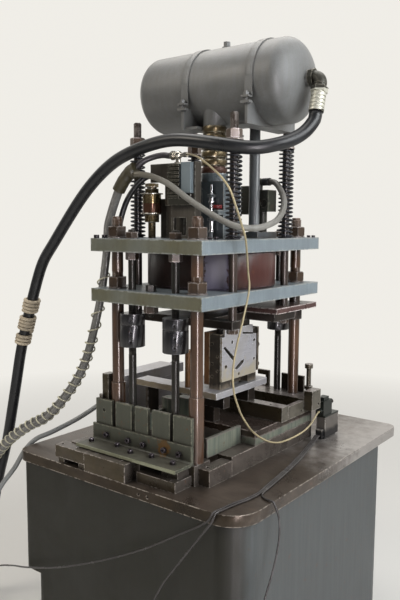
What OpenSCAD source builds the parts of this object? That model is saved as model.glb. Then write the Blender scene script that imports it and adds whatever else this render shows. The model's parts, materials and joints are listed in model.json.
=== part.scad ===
// Pneumatic cutoff press: four-post two-plate press with a short-stroke air cylinder,
// a spring-returned platen, a cutoff die, an air tank and a bench cabinet.
// Millimetres. The origin is the middle of the footprint at floor level.
// +X is the feed side, -Y is the front and +Z is up.

/* [Cabinet and table] */
// Height of the table top above the floor
table_h = 800; // [700:5:900]
// Table top size along X
table_w = 990; // [900:5:1150]
// Table top size along Y
table_d = 1160; // [1080:5:1300]
// Table top thickness
table_t = 36; // [25:1:50]
// Radius of the large near corner of the table
corner_r = 100; // [60:5:140]
// Cabinet sheet thickness
sheet_t = 4; // [3:0.5:6]
// Height of the narrower lower part of the cabinet
step_z = 348; // [250:1:450]

/* [Press frame] */
// Press centre offset along X from the footprint middle
press_x = 45; // [20:1:70]
// Press centre offset along Y from the footprint middle
press_y = -117; // [-150:1:-90]
// Plate size along X
plate_w = 474; // [466:2:520]
// Plate size along Y
plate_d = 738; // [722:2:800]
// Plate thickness
plate_t = 44; // [36:1:54]
// Underside of the lower plate above the table
low_z = 563; // [550:1:620]
// Post spacing from the centre along X
post_x = 172; // [166:1:178]
// Post spacing from the centre along Y
post_y = 307; // [302:1:312]
// Post diameter
post_d = 41; // [34:1:48]
// Post diameter through the plates
neck_d = 39; // [32:1:46]
// Tie rod spacing from the centre along X
tie_x = 94; // [90:1:98]
// Tie rod spacing from the centre along Y
tie_y = 318; // [312:1:320]
// Tie rod diameter
tie_d = 26; // [22:1:31]
// Coupling sleeve diameter
coupling_d = 85; // [70:1:90]
// Coupling sleeve length
coupling_l = 112; // [94:1:134]
// Height of the base bars on the table
base_h = 66; // [55:1:79]

/* [Air cylinder and platen] */
// Barrel outside diameter
drum_d = 460; // [384:2:466]
// Barrel wall thickness
drum_wall = 14; // [11:1:18]
// Barrel height between the plates
drum_h = 126; // [110:1:150]
// Platen stroke
stroke = 18; // [15:1:21]
// Piston thickness
piston_t = 32; // [26:1:38]
// Piston rod diameter
rod_d = 90; // [74:2:108]
// Running clearance of guided diameters, radial
fit = 0.05; // [0.03:0.01:0.1]
// Platen thickness
platen_t = 28; // [23:1:34]
// Platen shelf thickness
shelf_t = 20; // [16:1:24]
// Gap between the shelf and the lower plate at rest
shelf_gap = 31; // [26:1:40]

/* [Return springs] */
// Spring rod spacing from the centre along X
spring_x = 208; // [206:1:210]
// Spring rod spacing from the centre along Y
spring_y = 164; // [160:1:172]
// Spring rod diameter
spring_rod_d = 28; // [23:1:34]
// Spring length at rest
spring_l = 315; // [262:1:378]
// Spring coil radius to the wire's middle
coil_r = 24; // [22:0.5:25]
// Spring wire diameter
wire_d = 6.4; // [5.2:0.2:7.6]
// Number of coils
turns = 23; // [18:1:26]

/* [Die set] */
// Die size along X, with its face plate
die_w = 55; // [48:1:66]
// Die block size along Y
die_l = 226; // [190:2:250]
// Top of the die block above the table
die_top = 450; // [430:1:452]
// Face plate thickness
face_t = 8; // [6:1:10]
// Die shoe thickness
shoe_t = 23; // [19:1:28]

/* [Air tank] */
// Tank outside diameter
tank_d = 273; // [228:1:300]
// Length of the straight shell
tank_l = 512; // [428:2:614]
// Depth of a tank head
head_h = 69; // [57:1:83]
// Tank wall thickness
tank_wall = 5; // [4:0.5:8]
// Tank axis height above the top plate
tank_up = 512; // [505:1:560]

/* [Hidden] */
$fn = 48;
low_top = low_z + plate_t;             // top of the lower plate
high_z = low_top + drum_h;             // underside of the top plate
top = high_z + plate_t;                // top of the top plate
walls_h = 28;                          // riser strips over the runners
base_plate_z = base_h + walls_h;
base_plate_t = 24;
rails_z = base_plate_z + base_plate_t;
rail_h = 55;
rail_top = rails_z + rail_h;
shoe_z = rail_top + 60;
shoe_top = shoe_z + shoe_t;
platen_z = low_z - shelf_gap - platen_t - shelf_t;
shelf_z = platen_z + platen_t;
gap = 0.15;                            // plain assembly clearance, radial
die_x = 77;
die_x1 = die_x + die_w;
tank_x = 54;
tank_z = top + tank_up;
tank_r = tank_d/2;
stack = [62, -72];
sleeve_top = 280;

grey = [0.46, 0.49, 0.46];
plate_blue = [0.47, 0.53, 0.55];
bright = [0.66, 0.66, 0.67];
rust = [0.33, 0.22, 0.16];
dark = [0.12, 0.12, 0.13];
brass = [0.52, 0.45, 0.25];
red_oxide = [0.42, 0.20, 0.15];
olive = [0.33, 0.35, 0.28];
tank_grey = [0.42, 0.43, 0.44];
black = [0.07, 0.07, 0.08];
table_brown = [0.42, 0.36, 0.31];

// ---------- shared shapes, in the press frame: centre of the plates, height above the table
module press() translate([press_x, press_y, table_h]) children();
module bar(x, y, z) press() translate([x[0], y[0], z[0]]) cube([x[1]-x[0], y[1]-y[0], z[1]-z[0]]);
module rod(at, z, d, n = 48) press() translate([at[0], at[1], z[0]]) cylinder(h = z[1]-z[0], d = d, $fn = n);
module hexagon(at, z, af, turn = 0)
  press() translate([at[0], at[1], z[0]]) rotate([0, 0, turn])
    cylinder(h = z[1]-z[0], d = af/cos(30), $fn = 6);
module rod_x(x, y, z, d, n = 32)
  press() translate([x[0], y, z]) rotate([0, 90, 0]) cylinder(h = x[1]-x[0], d = d, $fn = n);
module rod_y(y, x, z, d, n = 32)
  press() translate([x, y[1], z]) rotate([90, 0, 0]) cylinder(h = y[1]-y[0], d = d, $fn = n);
// a flat shape drawn in Y and height, stretched along X
module across_x(x)
  press() translate([x[0], 0, 0]) rotate([90, 0, 90]) linear_extrude(height = x[1]-x[0]) children();
module ring(at, z, d_out, d_in, n = 48) difference() {
  rod(at, z, d_out, n);
  rod(at, [z[0]-1, z[1]+1], d_in, n);
}
function corners(x, y) = [for (sx = [-1, 1], sy = [-1, 1]) [sx*x, sy*y]];
module nut(at, z, af, bore, turn = 0) difference() {
  hexagon(at, z, af, turn);
  rod(at, [z[0]-1, z[1]+1], bore, 32);
}

// ---------- cabinet and table
module corner_cut(r, turn) rotate(turn) difference() {
  translate([-1, -1]) square([r + 1, r + 1]);
  translate([r, r]) circle(r = r, $fn = 96);
}
// rectangle with its own radius at each corner: front right, back right, back left, front left
module rounded(x, y, r) difference() {
  translate([x[0], y[0]]) square([x[1]-x[0], y[1]-y[0]]);
  translate([x[1], y[0]]) corner_cut(r[0], 90);
  translate([x[1], y[1]]) corner_cut(r[1], 180);
  translate([x[0], y[1]]) corner_cut(r[2], 270);
  translate([x[0], y[0]]) corner_cut(r[3], 0);
}
half_w = table_w/2;
half_d = table_d/2;
side_x = [-half_w + 7, half_w - 11];
side_y = [-half_d + 12, half_d - 97];
inset = 70;                            // the lower part stands in at the left
module sheet_ring(x0, z, wall) translate([0, 0, z[0]]) linear_extrude(height = z[1]-z[0]) difference() {
  rounded([x0, side_x[1]], side_y, [corner_r - 8, corner_r - 8, 40, 40]);
  rounded([x0 + wall, side_x[1] - wall], [side_y[0] + wall, side_y[1] - wall],
          [corner_r - 8 - wall, corner_r - 8 - wall, 40 - wall, 40 - wall]);
}
module cabinet() color(grey) {
  sheet_ring(side_x[0] + inset, [0, sheet_t], 36);
  sheet_ring(side_x[0] + inset, [0, step_z + sheet_t], sheet_t);
  sheet_ring(side_x[0], [step_z, table_h - table_t], sheet_t);
  // floor of the overhang and the flange under the table top
  translate([side_x[0] + sheet_t - 1, side_y[0] + 40, step_z])
    cube([inset + 1, side_y[1] - side_y[0] - 80, sheet_t]);
  sheet_ring(side_x[0], [table_h - table_t - sheet_t, table_h - table_t], 36);
}
module table_top() color(table_brown) difference() {
  translate([0, 0, table_h - table_t]) linear_extrude(height = table_t)
    rounded([-half_w, half_w], [-half_d, half_d], [corner_r, 45, 45, 45]);
  for (x = [62, 100]) translate([press_x + x, -half_d + 14, table_h - 19]) rotate([90, 0, 0])
    cylinder(h = 20, d = 8);
  translate([half_w - 2, 74, table_h - 4]) cube([4, 500, 5]);
}

// ---------- bars on the table
module base_runners() color(dark) {
  for (x = [[177, 237], [-237, -177]]) bar(x, [-199, 345], [0, base_h]);
  for (x = [[194, 237], [-237, -194]]) difference() {
    bar(x, [-324, -199.1], [0, base_h - 11]);
    rod([x[0] + 16, -300], [20, base_h], 12);
  }
}
module front_bars() color(rust) {
  bar([-193, 193], [-345, -262], [0, base_h]);
  difference() {
    bar([-300, 22], [-412.9, -345.1], [0, base_h]);
    rod([-8, -400], [30, base_h + 1], 11);
  }
  difference() {
    bar([22.1, 182], [-427, -345.1], [0, 35]);
    rod([160, -416], [15, 40], 9);
  }
  bar([104, 170], [-400, -345.1], [35, base_h]);
  for (x = [[-185, 2, 0], [-329, -185.1, 20]]) difference() {
    bar([x[0], x[1]], [-462, -413], [x[2], 62]);
    for (tap = [-313, -240, -146, -30]) rod([tap, -441], [35, 63], 10);
  }
  for (x = [-322, -220]) bar([x, x + 30], [-455, -418], [0, 20]);
}
bracket_x = [-253, 187];
foot_t = 10;
leg_y = [-353, -345];
foot_screws = [[-225, -389], [-116, -374], [-35, -396], [47, -383], [143, -391]];
leg_screws = [-184, -82, -13, 77, 140];
leg_screw_z = 99;
module angle_bracket() color(grey) difference() {
  across_x(bracket_x) difference() {
    union() {
      translate([-435, base_h]) square([435 + leg_y[0] - 8, foot_t]);
      translate([leg_y[0], base_h + 16]) square([8, 48]);
      intersection() {
        translate([leg_y[0] - 8, base_h + 16]) circle(r = 16);
        translate([leg_y[0] - 8, base_h]) square([16, 16]);
      }
    }
    translate([leg_y[0] - 8, base_h + 16]) circle(r = 7);
  }
  for (at = foot_screws) rod(at, [base_h - 1, base_h + foot_t + 1], 11.4);
  for (x = leg_screws) rod_y([leg_y[0] - 1, leg_y[1] + 1], x, leg_screw_z, 11.4);
}
stops = [[-245, -168, 0], [-150, -76, 1], [-61, -2, 2], [15, 92, 3], [106, 181, 4]];
module stop_plates() color(grey) for (q = stops)
  difference() {
    bar([q[0], q[1]], [leg_y[1] + 0.1, -333], [base_h, 218]);
    rod_y([-347, -332], leg_screws[q[2]], leg_screw_z, 11.4);
    // worn notch in the first plate
    if (q[2] == 0) rod_y([-350, -341], -205, 180, 14, 5);
  }

end_screws = [[-226, -352], [-226, -314]];
plate_screws = [[164, -232], [176, -214], [170, -140], [206, 345], [222, 352], [-222, 348]];
module cap_head(d) difference() {
  cylinder(h = d, d = 1.7*d, $fn = 32);
  translate([0, 0, d/2]) cylinder(h = d, d = 0.9*d, $fn = 6);
}
module cap_screw(d, shank) {
  cap_head(d);
  translate([0, 0, -shank]) cylinder(h = shank, d = d, $fn = 24);
}
module cap_screws() color(black) {
  press() for (at = foot_screws) translate([at[0], at[1], base_h + foot_t]) cap_screw(11, foot_t);
  press() for (x = leg_screws) translate([x, leg_y[0], leg_screw_z]) rotate([90, 0, 0]) cap_screw(11, 18);
  press() for (at = plate_screws) translate([at[0], at[1], top]) cap_screw(8, 12);
  press() for (at = end_screws) translate([at[0], at[1], top]) cap_screw(11, 12);
  press() for (z = [311, 384]) translate([die_x + 39, die_l/2 + 8, z]) rotate([-90, 0, 0]) cap_screw(12, 22);
}
module side_walls() color(olive) {
  for (x = [[168, 180], [-180, -168]]) bar(x, [-261, -64], [base_h, 131]);
  for (x = [[177, 237], [-237, -177]]) bar(x, [-62, 345], [base_h, base_plate_z]);
  // stepped block across the base plate's front edge
  bar([-186, -112], [-61.9, -22], [rails_z, 172]);
  bar([-112, -50], [-61.9, -22], [rails_z, 186]);
}
module base_plate() color(table_brown) difference() {
  bar([-237, 237], [-62, 345], [base_plate_z, rails_z]);
  bar([-90, 60], [140, 236], [base_plate_z - 1, rails_z + 1]);
}
module guide_rails() {
  color(rust) rails();
  color(dark) backing_blocks();
}
module rails() {
  difference() {
    bar([-230, 256], [85, 130], [rails_z, rail_top]);
    for (x = [-200, -20, 200]) rod([x, 97], [rail_top - 20, rail_top + 1], 11);
  }
  difference() {
    bar([-230, 256], [245, 345], [rails_z, rail_top]);
    for (x = [-120, 40]) rod([x, 264], [rail_top - 20, rail_top + 1], 11);
  }
  difference() {
    bar([238, 256], [130.1, 244.9], [rails_z, rail_top - 6]);
    rod_x([250, 260], 228, rails_z + 14, 9);
  }
  difference() {
    bar([256.1, 291], [245, 312], [rails_z + 13, 205]);
    rod_x([280, 292], 296, 150, 10);
  }
}
// blocks that stand on the rails, the stop stud and the stop column
module backing_blocks() {
  bar([104, 204], [335, 345], [rail_top + 0.1, 237]);
  difference() {
    bar([-8, 46], [335, 345], [rail_top + 0.1, 238]);
    bar([-20, 30], [330, 350], [rail_top + 4, 218]);
  }
  bar([-204, -104], [335, 345], [rail_top + 0.1, 237]);
  // stop stud on the rear rail
  rod([234, 320], [rail_top + 0.1, 195], 24);
  rod([234, 320], [195, 207], 31);
  rod([234, 320], [207, 276], 18);
  rod([234, 320], [276, 293], 31);
  // front left stop column with its jack bolt
  bar([-228, -199], [-330, -292], [base_h, 305]);
  hexagon([-225, -339], [218, 234], 12);
}

// ---------- posts, plates and tie rods
module posts() color(rust) {
  for (at = corners(post_x, post_y)) {
    foot = at[1] < 0 ? base_h : rail_top;
    rod(at, [foot, low_z], post_d);
    rod(at, [low_z, top + 66], neck_d);
    rod(at, [top + 66, top + 73], neck_d - 7);
  }
  for (s = [-1, 1]) ring([s*post_x, -post_y], [base_h, sleeve_top], post_d + 8, post_d + 2*gap);
}
module frame_nuts() color(rust) {
  for (at = corners(post_x, post_y), z = [low_top, top]) {
    ring(at, [z, z + 4], 66, neck_d + 2*gap);
    nut(at, [z + 4, z + 40], 58, neck_d + 2*gap, 12);
  }
  for (at = corners(tie_x, tie_y)) nut(at, [high_z - 27, high_z], 38, tie_d + 2*gap, 8);
  for (at = corners(tie_x, tie_y)) nut(at, [top, top + 22], 38, tie_d + 2*gap, 20);
  nut([0, -330], [low_z - 26, low_z], 42, 20 + 2*gap, 5);
}
module plate(z) difference() {
  bar([-plate_w/2, plate_w/2], [-plate_d/2, plate_d/2], z);
  for (at = corners(post_x, post_y)) rod(at, [z[0]-1, z[1]+1], neck_d + 2*gap);
  for (at = corners(tie_x, tie_y)) rod(at, [z[0]-1, z[1]+1], tie_d + 2*gap);
  for (at = corners(spring_x, spring_y)) rod(at, [z[0]-1, z[1]+1], spring_rod_d + 2);
}
bushing_d = rod_d + 24;
module lower_plate() color(plate_blue) difference() {
  plate([low_z, low_top]);
  rod([0, 0], [low_z - 1, low_top + 1], bushing_d);
  rod([0, -330], [low_z - 1, low_top + 1], 20 + 2*gap);
}
air_port_d = 50;
module top_plate() color(plate_blue) difference() {
  plate([high_z, top]);
  rod(stack, [high_z - 1, top + 1], air_port_d);
  for (at = plate_screws) rod(at, [top - 14, top + 1], 8.3);
  for (at = end_screws) rod(at, [top - 14, top + 1], 11.3);
}
module tie_rods() color(dark) {
  for (at = corners(tie_x, tie_y)) {
    foot = at[1] < 0 ? base_h : rail_top;
    rod(at, [foot, 470], tie_d);
    rod(at, [472, top + 30], tie_d);
  }
  hexagon([0, -330], [low_top, low_top + 22], 30, 5);
  rod([0, -330], [low_z - 39, low_top], 20);
}
coupling_z = 416;
module couplings() color(dark) for (at = corners(tie_x, tie_y)) difference() {
  union() {
    rod(at, [coupling_z, coupling_z + coupling_l], coupling_d - 2);
    rod(at, [coupling_z + 1, coupling_z + 0.65*coupling_l], coupling_d);
    rod(at, [coupling_z + 0.68*coupling_l, coupling_z + coupling_l - 1], coupling_d);
  }
  rod(at, [coupling_z - 1, coupling_z + coupling_l + 1], tie_d + 2*gap);
  for (up = [0.18, 0.45, 0.82], turn = [-65, 35]) press()
    translate([at[0], at[1], coupling_z + up*coupling_l]) rotate([90, 0, turn])
      translate([0, 0, coupling_d/2 - 12]) cylinder(h = 20, d = 9, $fn = 24);
}

// ---------- air cylinder, piston and platen
bore_d = drum_d - 2*drum_wall;
piston_z = high_z - 45;
module cylinder_barrel() color(red_oxide) difference() {
  union() {
    rod([0, 0], [low_top, low_top + 7], drum_d - 10, 96);
    rod([0, 0], [low_top + 6, high_z - 3], drum_d, 96);
    rod([0, 0], [high_z - 3, high_z], drum_d - 8, 96);
  }
  rod([0, 0], [low_top - 1, high_z + 1], bore_d, 96);
}
groove_z = [piston_z + piston_t/2 - 5, piston_z + piston_t/2 + 5];
module piston() {
  color(bright) difference() {
    rod([0, 0], [piston_z, piston_z + piston_t], bore_d - 1, 96);
    ring([0, 0], groove_z, bore_d + 4, bore_d - 18, 96);
    rod([0, 0], [piston_z - 1, piston_z + piston_t + 1], 40 + 2*gap);
  }
  color(black) ring([0, 0], groove_z, bore_d - 2*fit, bore_d - 18, 96);
}
module piston_rod() color(bright) {
  rod([0, 0], [shelf_z, shelf_z + 16], rod_d + 50, 64);
  rod([0, 0], [shelf_z, piston_z], rod_d, 64);
  rod([0, 0], [piston_z, piston_z + piston_t + 11], 40);
  ring([0, 0], [piston_z + piston_t, piston_z + piston_t + 10], 64, 40, 6);
}
module rod_bushing() color(brass) ring([0, 0], [low_z, low_top], bushing_d, rod_d + 2*fit, 64);
module platen() color(dark) difference() {
  union() {
    bar([-128, 118], [-189, 190], [platen_z, shelf_z]);
    bar([-225, 225], [-190, -140], [platen_z, shelf_z]);
    bar([-235, 235], [57, 200], [platen_z, shelf_z]);
  }
  for (at = corners(spring_x, spring_y)) rod(at, [platen_z - 1, shelf_z + 1], spring_rod_d - 8 + 2*gap);
}
module platen_shelf() color(rust) difference() {
  bar([-246, 246], [54, 345], [shelf_z, shelf_z + shelf_t]);
  rod([0, 0], [shelf_z - 1, shelf_z + shelf_t + 1], rod_d + 56);
  for (s = [-1, 1]) {
    // open notch round each rear coupling, and the guide bushing's seat
    rod([s*tie_x, tie_y], [shelf_z - 1, shelf_z + shelf_t + 1], coupling_d + 12);
    press() translate([s*tie_x - coupling_d/2 - 6, tie_y, shelf_z - 1])
      cube([coupling_d + 12, 50, shelf_t + 2]);
    rod([s*post_x, post_y], [shelf_z - 1, shelf_z + shelf_t + 1], post_d + 9);
    rod([s*spring_x, spring_y], [shelf_z - 1, shelf_z + shelf_t + 1], spring_rod_d + 2*gap);
  }
}
module post_bushings() color(dark) for (s = [-1, 1]) {
  ring([s*post_x, post_y], [465, shelf_z], post_d + 16, post_d + 2*fit);
  ring([s*post_x, post_y], [shelf_z, shelf_z + shelf_t], post_d + 9, post_d + 2*fit);
}
well_x = [die_x + 7, die_x1 - face_t - 6];  // blade well in the die block
blade_x = [die_x + 21, die_x + 27];
holder_z = platen_z - 44;
module punch_holder() color(dark) difference() {
  bar([well_x[0] + 2, well_x[1] - 2], [-80, 80], [holder_z, platen_z]);
  bar([blade_x[0] - gap, blade_x[1] + gap], [-81, 81], [holder_z - 1, holder_z + 24]);
}
// the blade's edge follows the top of both feed slots and passes their bottom at full stroke
module cutter_blade() color(bright) across_x(blade_x) polygon([
  [-78, holder_z + 24 - gap], [-78, 432], [-101, 432], [-101, 408.5], [-98, 408.4], [-38, 362.9],
  [-37, 321.6], [-34, 322.4], [4, 343.4], [24, 347], [24, holder_z + 24 - gap]]);
rod_end = top + spring_l + 87;
module spring_rods() color(rust) for (at = corners(spring_x, spring_y)) {
  rod(at, [platen_z - 4, shelf_z], spring_rod_d - 8);
  rod(at, [shelf_z, rod_end - 3], spring_rod_d);
  rod(at, [rod_end - 3, rod_end], spring_rod_d - 6);
}
module spring_nuts() color(rust) for (at = corners(spring_x, spring_y)) {
  ring(at, [top + spring_l, top + spring_l + 5], 60, spring_rod_d + 2*gap);
  nut(at, [top + spring_l + 5, top + spring_l + 35], 46, spring_rod_d + 2*gap, 10);
  nut(at, [platen_z - 16, platen_z], 34, spring_rod_d - 8 + 2*gap);
}
// a coil spring: a five-sided wire swept up a helix whose end coils lie flat
steps = 8;
sides = 5;
function rise(t) = (spring_l - wire_d - 0.4)*min(1, max(0, (t - 0.6)/(turns - 1.2)));
function wire_ring(i) = [for (k = [0:sides-1])
  let (a = 360*i/steps, b = 360*k/sides, r = coil_r + wire_d/2*cos(b))
  [r*cos(a), r*sin(a), 0.2 + wire_d/2*(1 + sin(b)) + rise(i/steps)]];
module coil_spring() {
  last = turns*steps;
  side = [for (i = [0:last-1], k = [0:sides-1]) let (a = i*sides + k, b = i*sides + (k + 1)%sides)
    each [[a, b, b + sides], [a, b + sides, a + sides]]];
  polyhedron(
    points = [for (i = [0:last]) each wire_ring(i)],
    faces = concat(side, [[for (k = [sides-1:-1:0]) k]], [[for (k = [0:sides-1]) last*sides + k]]),
    convexity = 10);
}
module return_springs() color(black)
  press() for (at = corners(spring_x, spring_y)) translate([at[0], at[1], top]) coil_spring();

// ---------- die set
module die_shoe() color(bright) difference() {
  union() {
    bar([-60, 143], [-161, 161], [shoe_z, shoe_top]);
    bar([-225, -59], [-161, -95], [shoe_z, shoe_top]);
  }
  bar([die_x + 7, die_x + 34], [-28, 60], [shoe_z - 1, shoe_top + 1]);
}
module die_risers() color(dark) {
  bar([-55, 110], [86, 129], [rail_top, shoe_z]);
  bar([-49.9, 60], [-60, -24], [rails_z, shoe_z]);
  bar([38, 128], [-96, -60.1], [shoe_z - 48, shoe_z]);
  bar([-180, -168], [-158, -98], [131, shoe_z]);
}
// the slots that the stock is fed through: Y to the right and height upwards
module feed_slots() {
  polygon([[-106, 402], [-98, 408], [-40, 364], [-40, 352], [-50, 352]]);
  polygon([[-30, 315], [-34, 322], [4, 343], [20, 346], [20, 334], [-14, 317]]);
}
module die_block() color(dark) difference() {
  union() {
    bar([die_x, die_x1 - face_t], [-die_l/2, die_l/2], [shoe_top, die_top]);
    bar([die_x + 23, die_x1 - 2], [die_l/2 - 1, die_l/2 + 8], [290, die_top + 2]);
  }
  bar(well_x, [-104, 85], [holder_z - 122 - stroke, die_top + 1]);
  bar([die_x + 16, die_x1], [-50, 60], [shoe_top - 1, 285]);
  across_x([die_x - 1, die_x1]) feed_slots();
  for (z = [300, 345, 415]) rod_y([-die_l/2 - 1, -die_l/2 + 7], die_x + 12, z, 9);
  for (z = [322, 372]) rod_y([-die_l/2 - 1, -die_l/2 + 7], die_x + 34, z, 7);
  for (z = [311, 384]) rod_y([die_l/2 - 15, die_l/2 + 9], die_x + 39, z, 12.3);
}
module face_plate() color(bright) across_x([die_x1 - face_t, die_x1]) difference() {
  polygon([[-114, 285], [101, 285], [101, 429], [77, 433], [77, 465], [-98, 465], [-98, 440], [-114, 440]]);
  feed_slots();
  polygon([[10, 438], [10, 446], [80, 436], [80, 430]]);
  for (q = [[-53, 417, 13], [87, 407, 12], [-90, 335, 14], [88, 338, 12], [-10, 298, 12]])
    translate([q[0], q[1]]) circle(d = q[2]);
}
module die_strip() color(rust) {
  difference() {
    bar([die_x - 23, die_x], [-die_l/2, die_l/2], [shoe_top + 12, die_top + 3]);
    across_x([die_x - 24, die_x + 1]) feed_slots();
  }
  bar([die_x - 23, die_x], [-60, 60], [shoe_top, shoe_top + 12]);
  for (s = [-1, 1]) rod([8, s*146], [shoe_top, 390], 20);
}
module infeed_shelf() {
  color(dark) {
    bar([-370, -310], [-130, 150], [0, 205]);
    bar([-376, -302], [-142, 160], [205, 244]);
    bar([-330, -286], [160, 196], [214, 252]);
  }
  color(bright) bar([-382, -300], [-150, 160], [244, 250]);
}

// ---------- air tank
function head(r, h, end) = [for (i = [0:12]) let (a = end > 0 ? 90*i/12 : 90 - 90*i/12)
  [r*cos(a), end*(tank_l/2 + h*sin(a))]];
module tank_body(r, h) press() translate([tank_x, 0, tank_z]) rotate([0, 90, 0])
  rotate_extrude($fn = 96) polygon(concat(head(r, h, -1), head(r, h, 1)));
head_x = tank_x + tank_l/2 + head_h;
pipe_at = [[137, 66], [-60, 66]];
boss_z = tank_z - tank_r + 3.5;        // bottom of the threaded boss under the tank
module tank_shell() color(tank_grey) difference() {
  union() {
    tank_body(tank_r, head_h);
    rod_x([head_x - 10, head_x + 6], 0, tank_z, 54);
    rod(stack, [boss_z, tank_z - tank_r/2], 76);
    for (at = pipe_at) rod(at, [tank_z - tank_r + 8, tank_z - tank_r/2], 50);
    rod([60, 0], [tank_z + tank_r - 8, tank_z + tank_r + 5], 34);
    hexagon([60, 0], [tank_z + tank_r + 4, tank_z + tank_r + 22], 22);
  }
  difference() {
    tank_body(tank_r - tank_wall, head_h - tank_wall);
    for (at = pipe_at) rod(at, [tank_z - tank_r, tank_z - tank_r/2], 50);
  }
  rod_x([head_x - 30, head_x + 20], 0, tank_z, 26);
  rod(stack, [tank_z - tank_r, tank_z - tank_r/2 + 5], 44);
}
saddle_x = [-15, 242];
saddle_z = [top + 366, top + 436];
module tank_saddles() color(tank_grey) for (x = saddle_x) {
  inward = x < tank_x ? 1 : -1;
  difference() {
    union() {
      bar([x - 5, x + 5], [-150, 150], saddle_z);
      bar(inward > 0 ? [x + 4, x + 55] : [x - 55, x - 4], [-140, 140], [saddle_z[0], saddle_z[0] + 8]);
      for (y = [[-160, -139], [139, 160]]) bar([x - 16, x + 16], y, [saddle_z[1] - 8, saddle_z[1]]);
    }
    press() translate([x - 80, 0, tank_z]) rotate([0, 90, 0]) cylinder(h = 160, r = tank_r + gap, $fn = 96);
    for (at = pipe_at) rod(at, [saddle_z[0] - 1, saddle_z[0] + 9], 56);
    rod(stack, [saddle_z[0] - 1, saddle_z[0] + 9], 92);
  }
  // strap over the tank, its two lugs and their bolts
  press() translate([x, 0, tank_z]) rotate([0, 90, 0]) difference() {
    translate([0, 0, -14]) cylinder(h = 28, r = tank_r + 4 + gap, $fn = 96);
    translate([0, 0, -15]) cylinder(h = 30, r = tank_r + gap, $fn = 96);
    translate([0, -tank_r - 10, -16]) cube([tank_r + 10, 2*tank_r + 20, 32]);
  }
  for (s = [-1, 1]) {
    edge = s*(tank_r + gap);
    bar([x - 14, x + 14], [min(edge, edge + 4*s), max(edge, edge + 4*s)], [saddle_z[1] + 10, tank_z]);
    difference() {
      bar([x - 14, x + 14], [min(edge, s*160), max(edge, s*160)], [saddle_z[1] + 10, saddle_z[1] + 16]);
      rod([x, s*151], [saddle_z[1] + 9, saddle_z[1] + 17], 10.4);
    }
    rod([x, s*151], [saddle_z[1], saddle_z[1] + 30], 10, 24);
    nut([x, s*151], [saddle_z[1] + 16, saddle_z[1] + 25], 17, 10);
  }
}
module support_pipes() color(plate_blue) {
  for (at = pipe_at) rod(at, [top + 22, tank_z - tank_r + 8], 38);
  bar([113, 162], [50, 182], [top, top + 22]);
  rod(pipe_at[1], [top, top + 22], 80);
}
elbow_r = 26;
leg_x = head_x + 45;
leg_tilt = 15;                         // the elbow's leg leans to the front
hose_d = 38;
ferrule_z = tank_z - 116;
module tilted() translate([0, press_y, table_h + tank_z]) rotate([-leg_tilt, 0, 0])
  translate([0, -press_y, -table_h - tank_z]) children();
module elbow_bend(d) press() translate([leg_x - elbow_r, 0, tank_z - elbow_r]) rotate([90, 0, 0])
  rotate_extrude(angle = 90, $fn = 64) translate([elbow_r, 0]) circle(d = d, $fn = 32);
module tank_elbow() color(dark) difference() {
  union() {
    rod_x([head_x + 6, leg_x - elbow_r + 2], 0, tank_z, 36);
    press() translate([head_x + 7, 0, tank_z]) rotate([0, 90, 0]) cylinder(h = 16, d = 58, $fn = 8);
    tilted() {
      elbow_bend(42);
      rod([leg_x, 0], [tank_z - elbow_r - 12, tank_z - elbow_r + 1], 40);
      hexagon([leg_x, 0], [tank_z - elbow_r - 28, tank_z - elbow_r - 10], 48, 30);
      for (step = [0:4]) rod([leg_x, 0], [ferrule_z + 12*step, ferrule_z + 12*step + 9], 48);
      rod([leg_x, 0], [ferrule_z, tank_z - elbow_r - 26], 44);
    }
  }
  rod_x([head_x, leg_x - elbow_r + 3], 0, tank_z, 20);
  tilted() {
    elbow_bend(22);
    rod([leg_x, 0], [ferrule_z + 20, tank_z - elbow_r], 22);
  }
}

// ---------- air valve stack between the tank and the cylinder
knob_at = [125, -138];
module stack_valve() color(plate_blue) difference() {
  union() {
    bar([30, 135], [-118, -18], [top, top + 192]);
    rod(stack, [top + 192, top + 220], 96);
    bar([88, 104], [-146, -118], [top + 60, top + 70]);
    bar([88, 104], [-146, -118], [top + 138, top + 148]);
    bar([116, 134], [-148, -118], [top + 80, top + 96]);
  }
  rod(stack, [top - 1, top + 221], air_port_d);
  for (z = [top + 59, top + 137]) rod([96, -132], [z, z + 12], 14 + 2*gap);
  rod(knob_at, [top + 79, top + 97], 8 + 2*fit);
  bar([29, 44], [-119, -104], [top + 30, top + 170]);
}
module stack_coupling() color(brass) difference() {
  union() {
    rod(stack, [top + 220, boss_z], 78);
    for (z = [220, 246, 274, 300, 330, 356]) rod(stack, [top + z, top + z + 20], z < 310 ? 90 : 84);
  }
  rod(stack, [top + 219, boss_z + 1], 60);
}
module spool_rod() color(bright) {
  rod([96, -132], [top, top + 150], 14);
  rod([96, -132], [top + 150, top + 180], 8);
  for (z = [20, 118]) rod([96, -132], [top + z, top + z + 8], 20);
}
module reset_knob() color([0.5, 0.08, 0.08]) {
  rod(knob_at, [top + 76, top + 101], 8, 32);
  rod(knob_at, [top + 101, top + 112], 30, 32);
}

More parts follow.
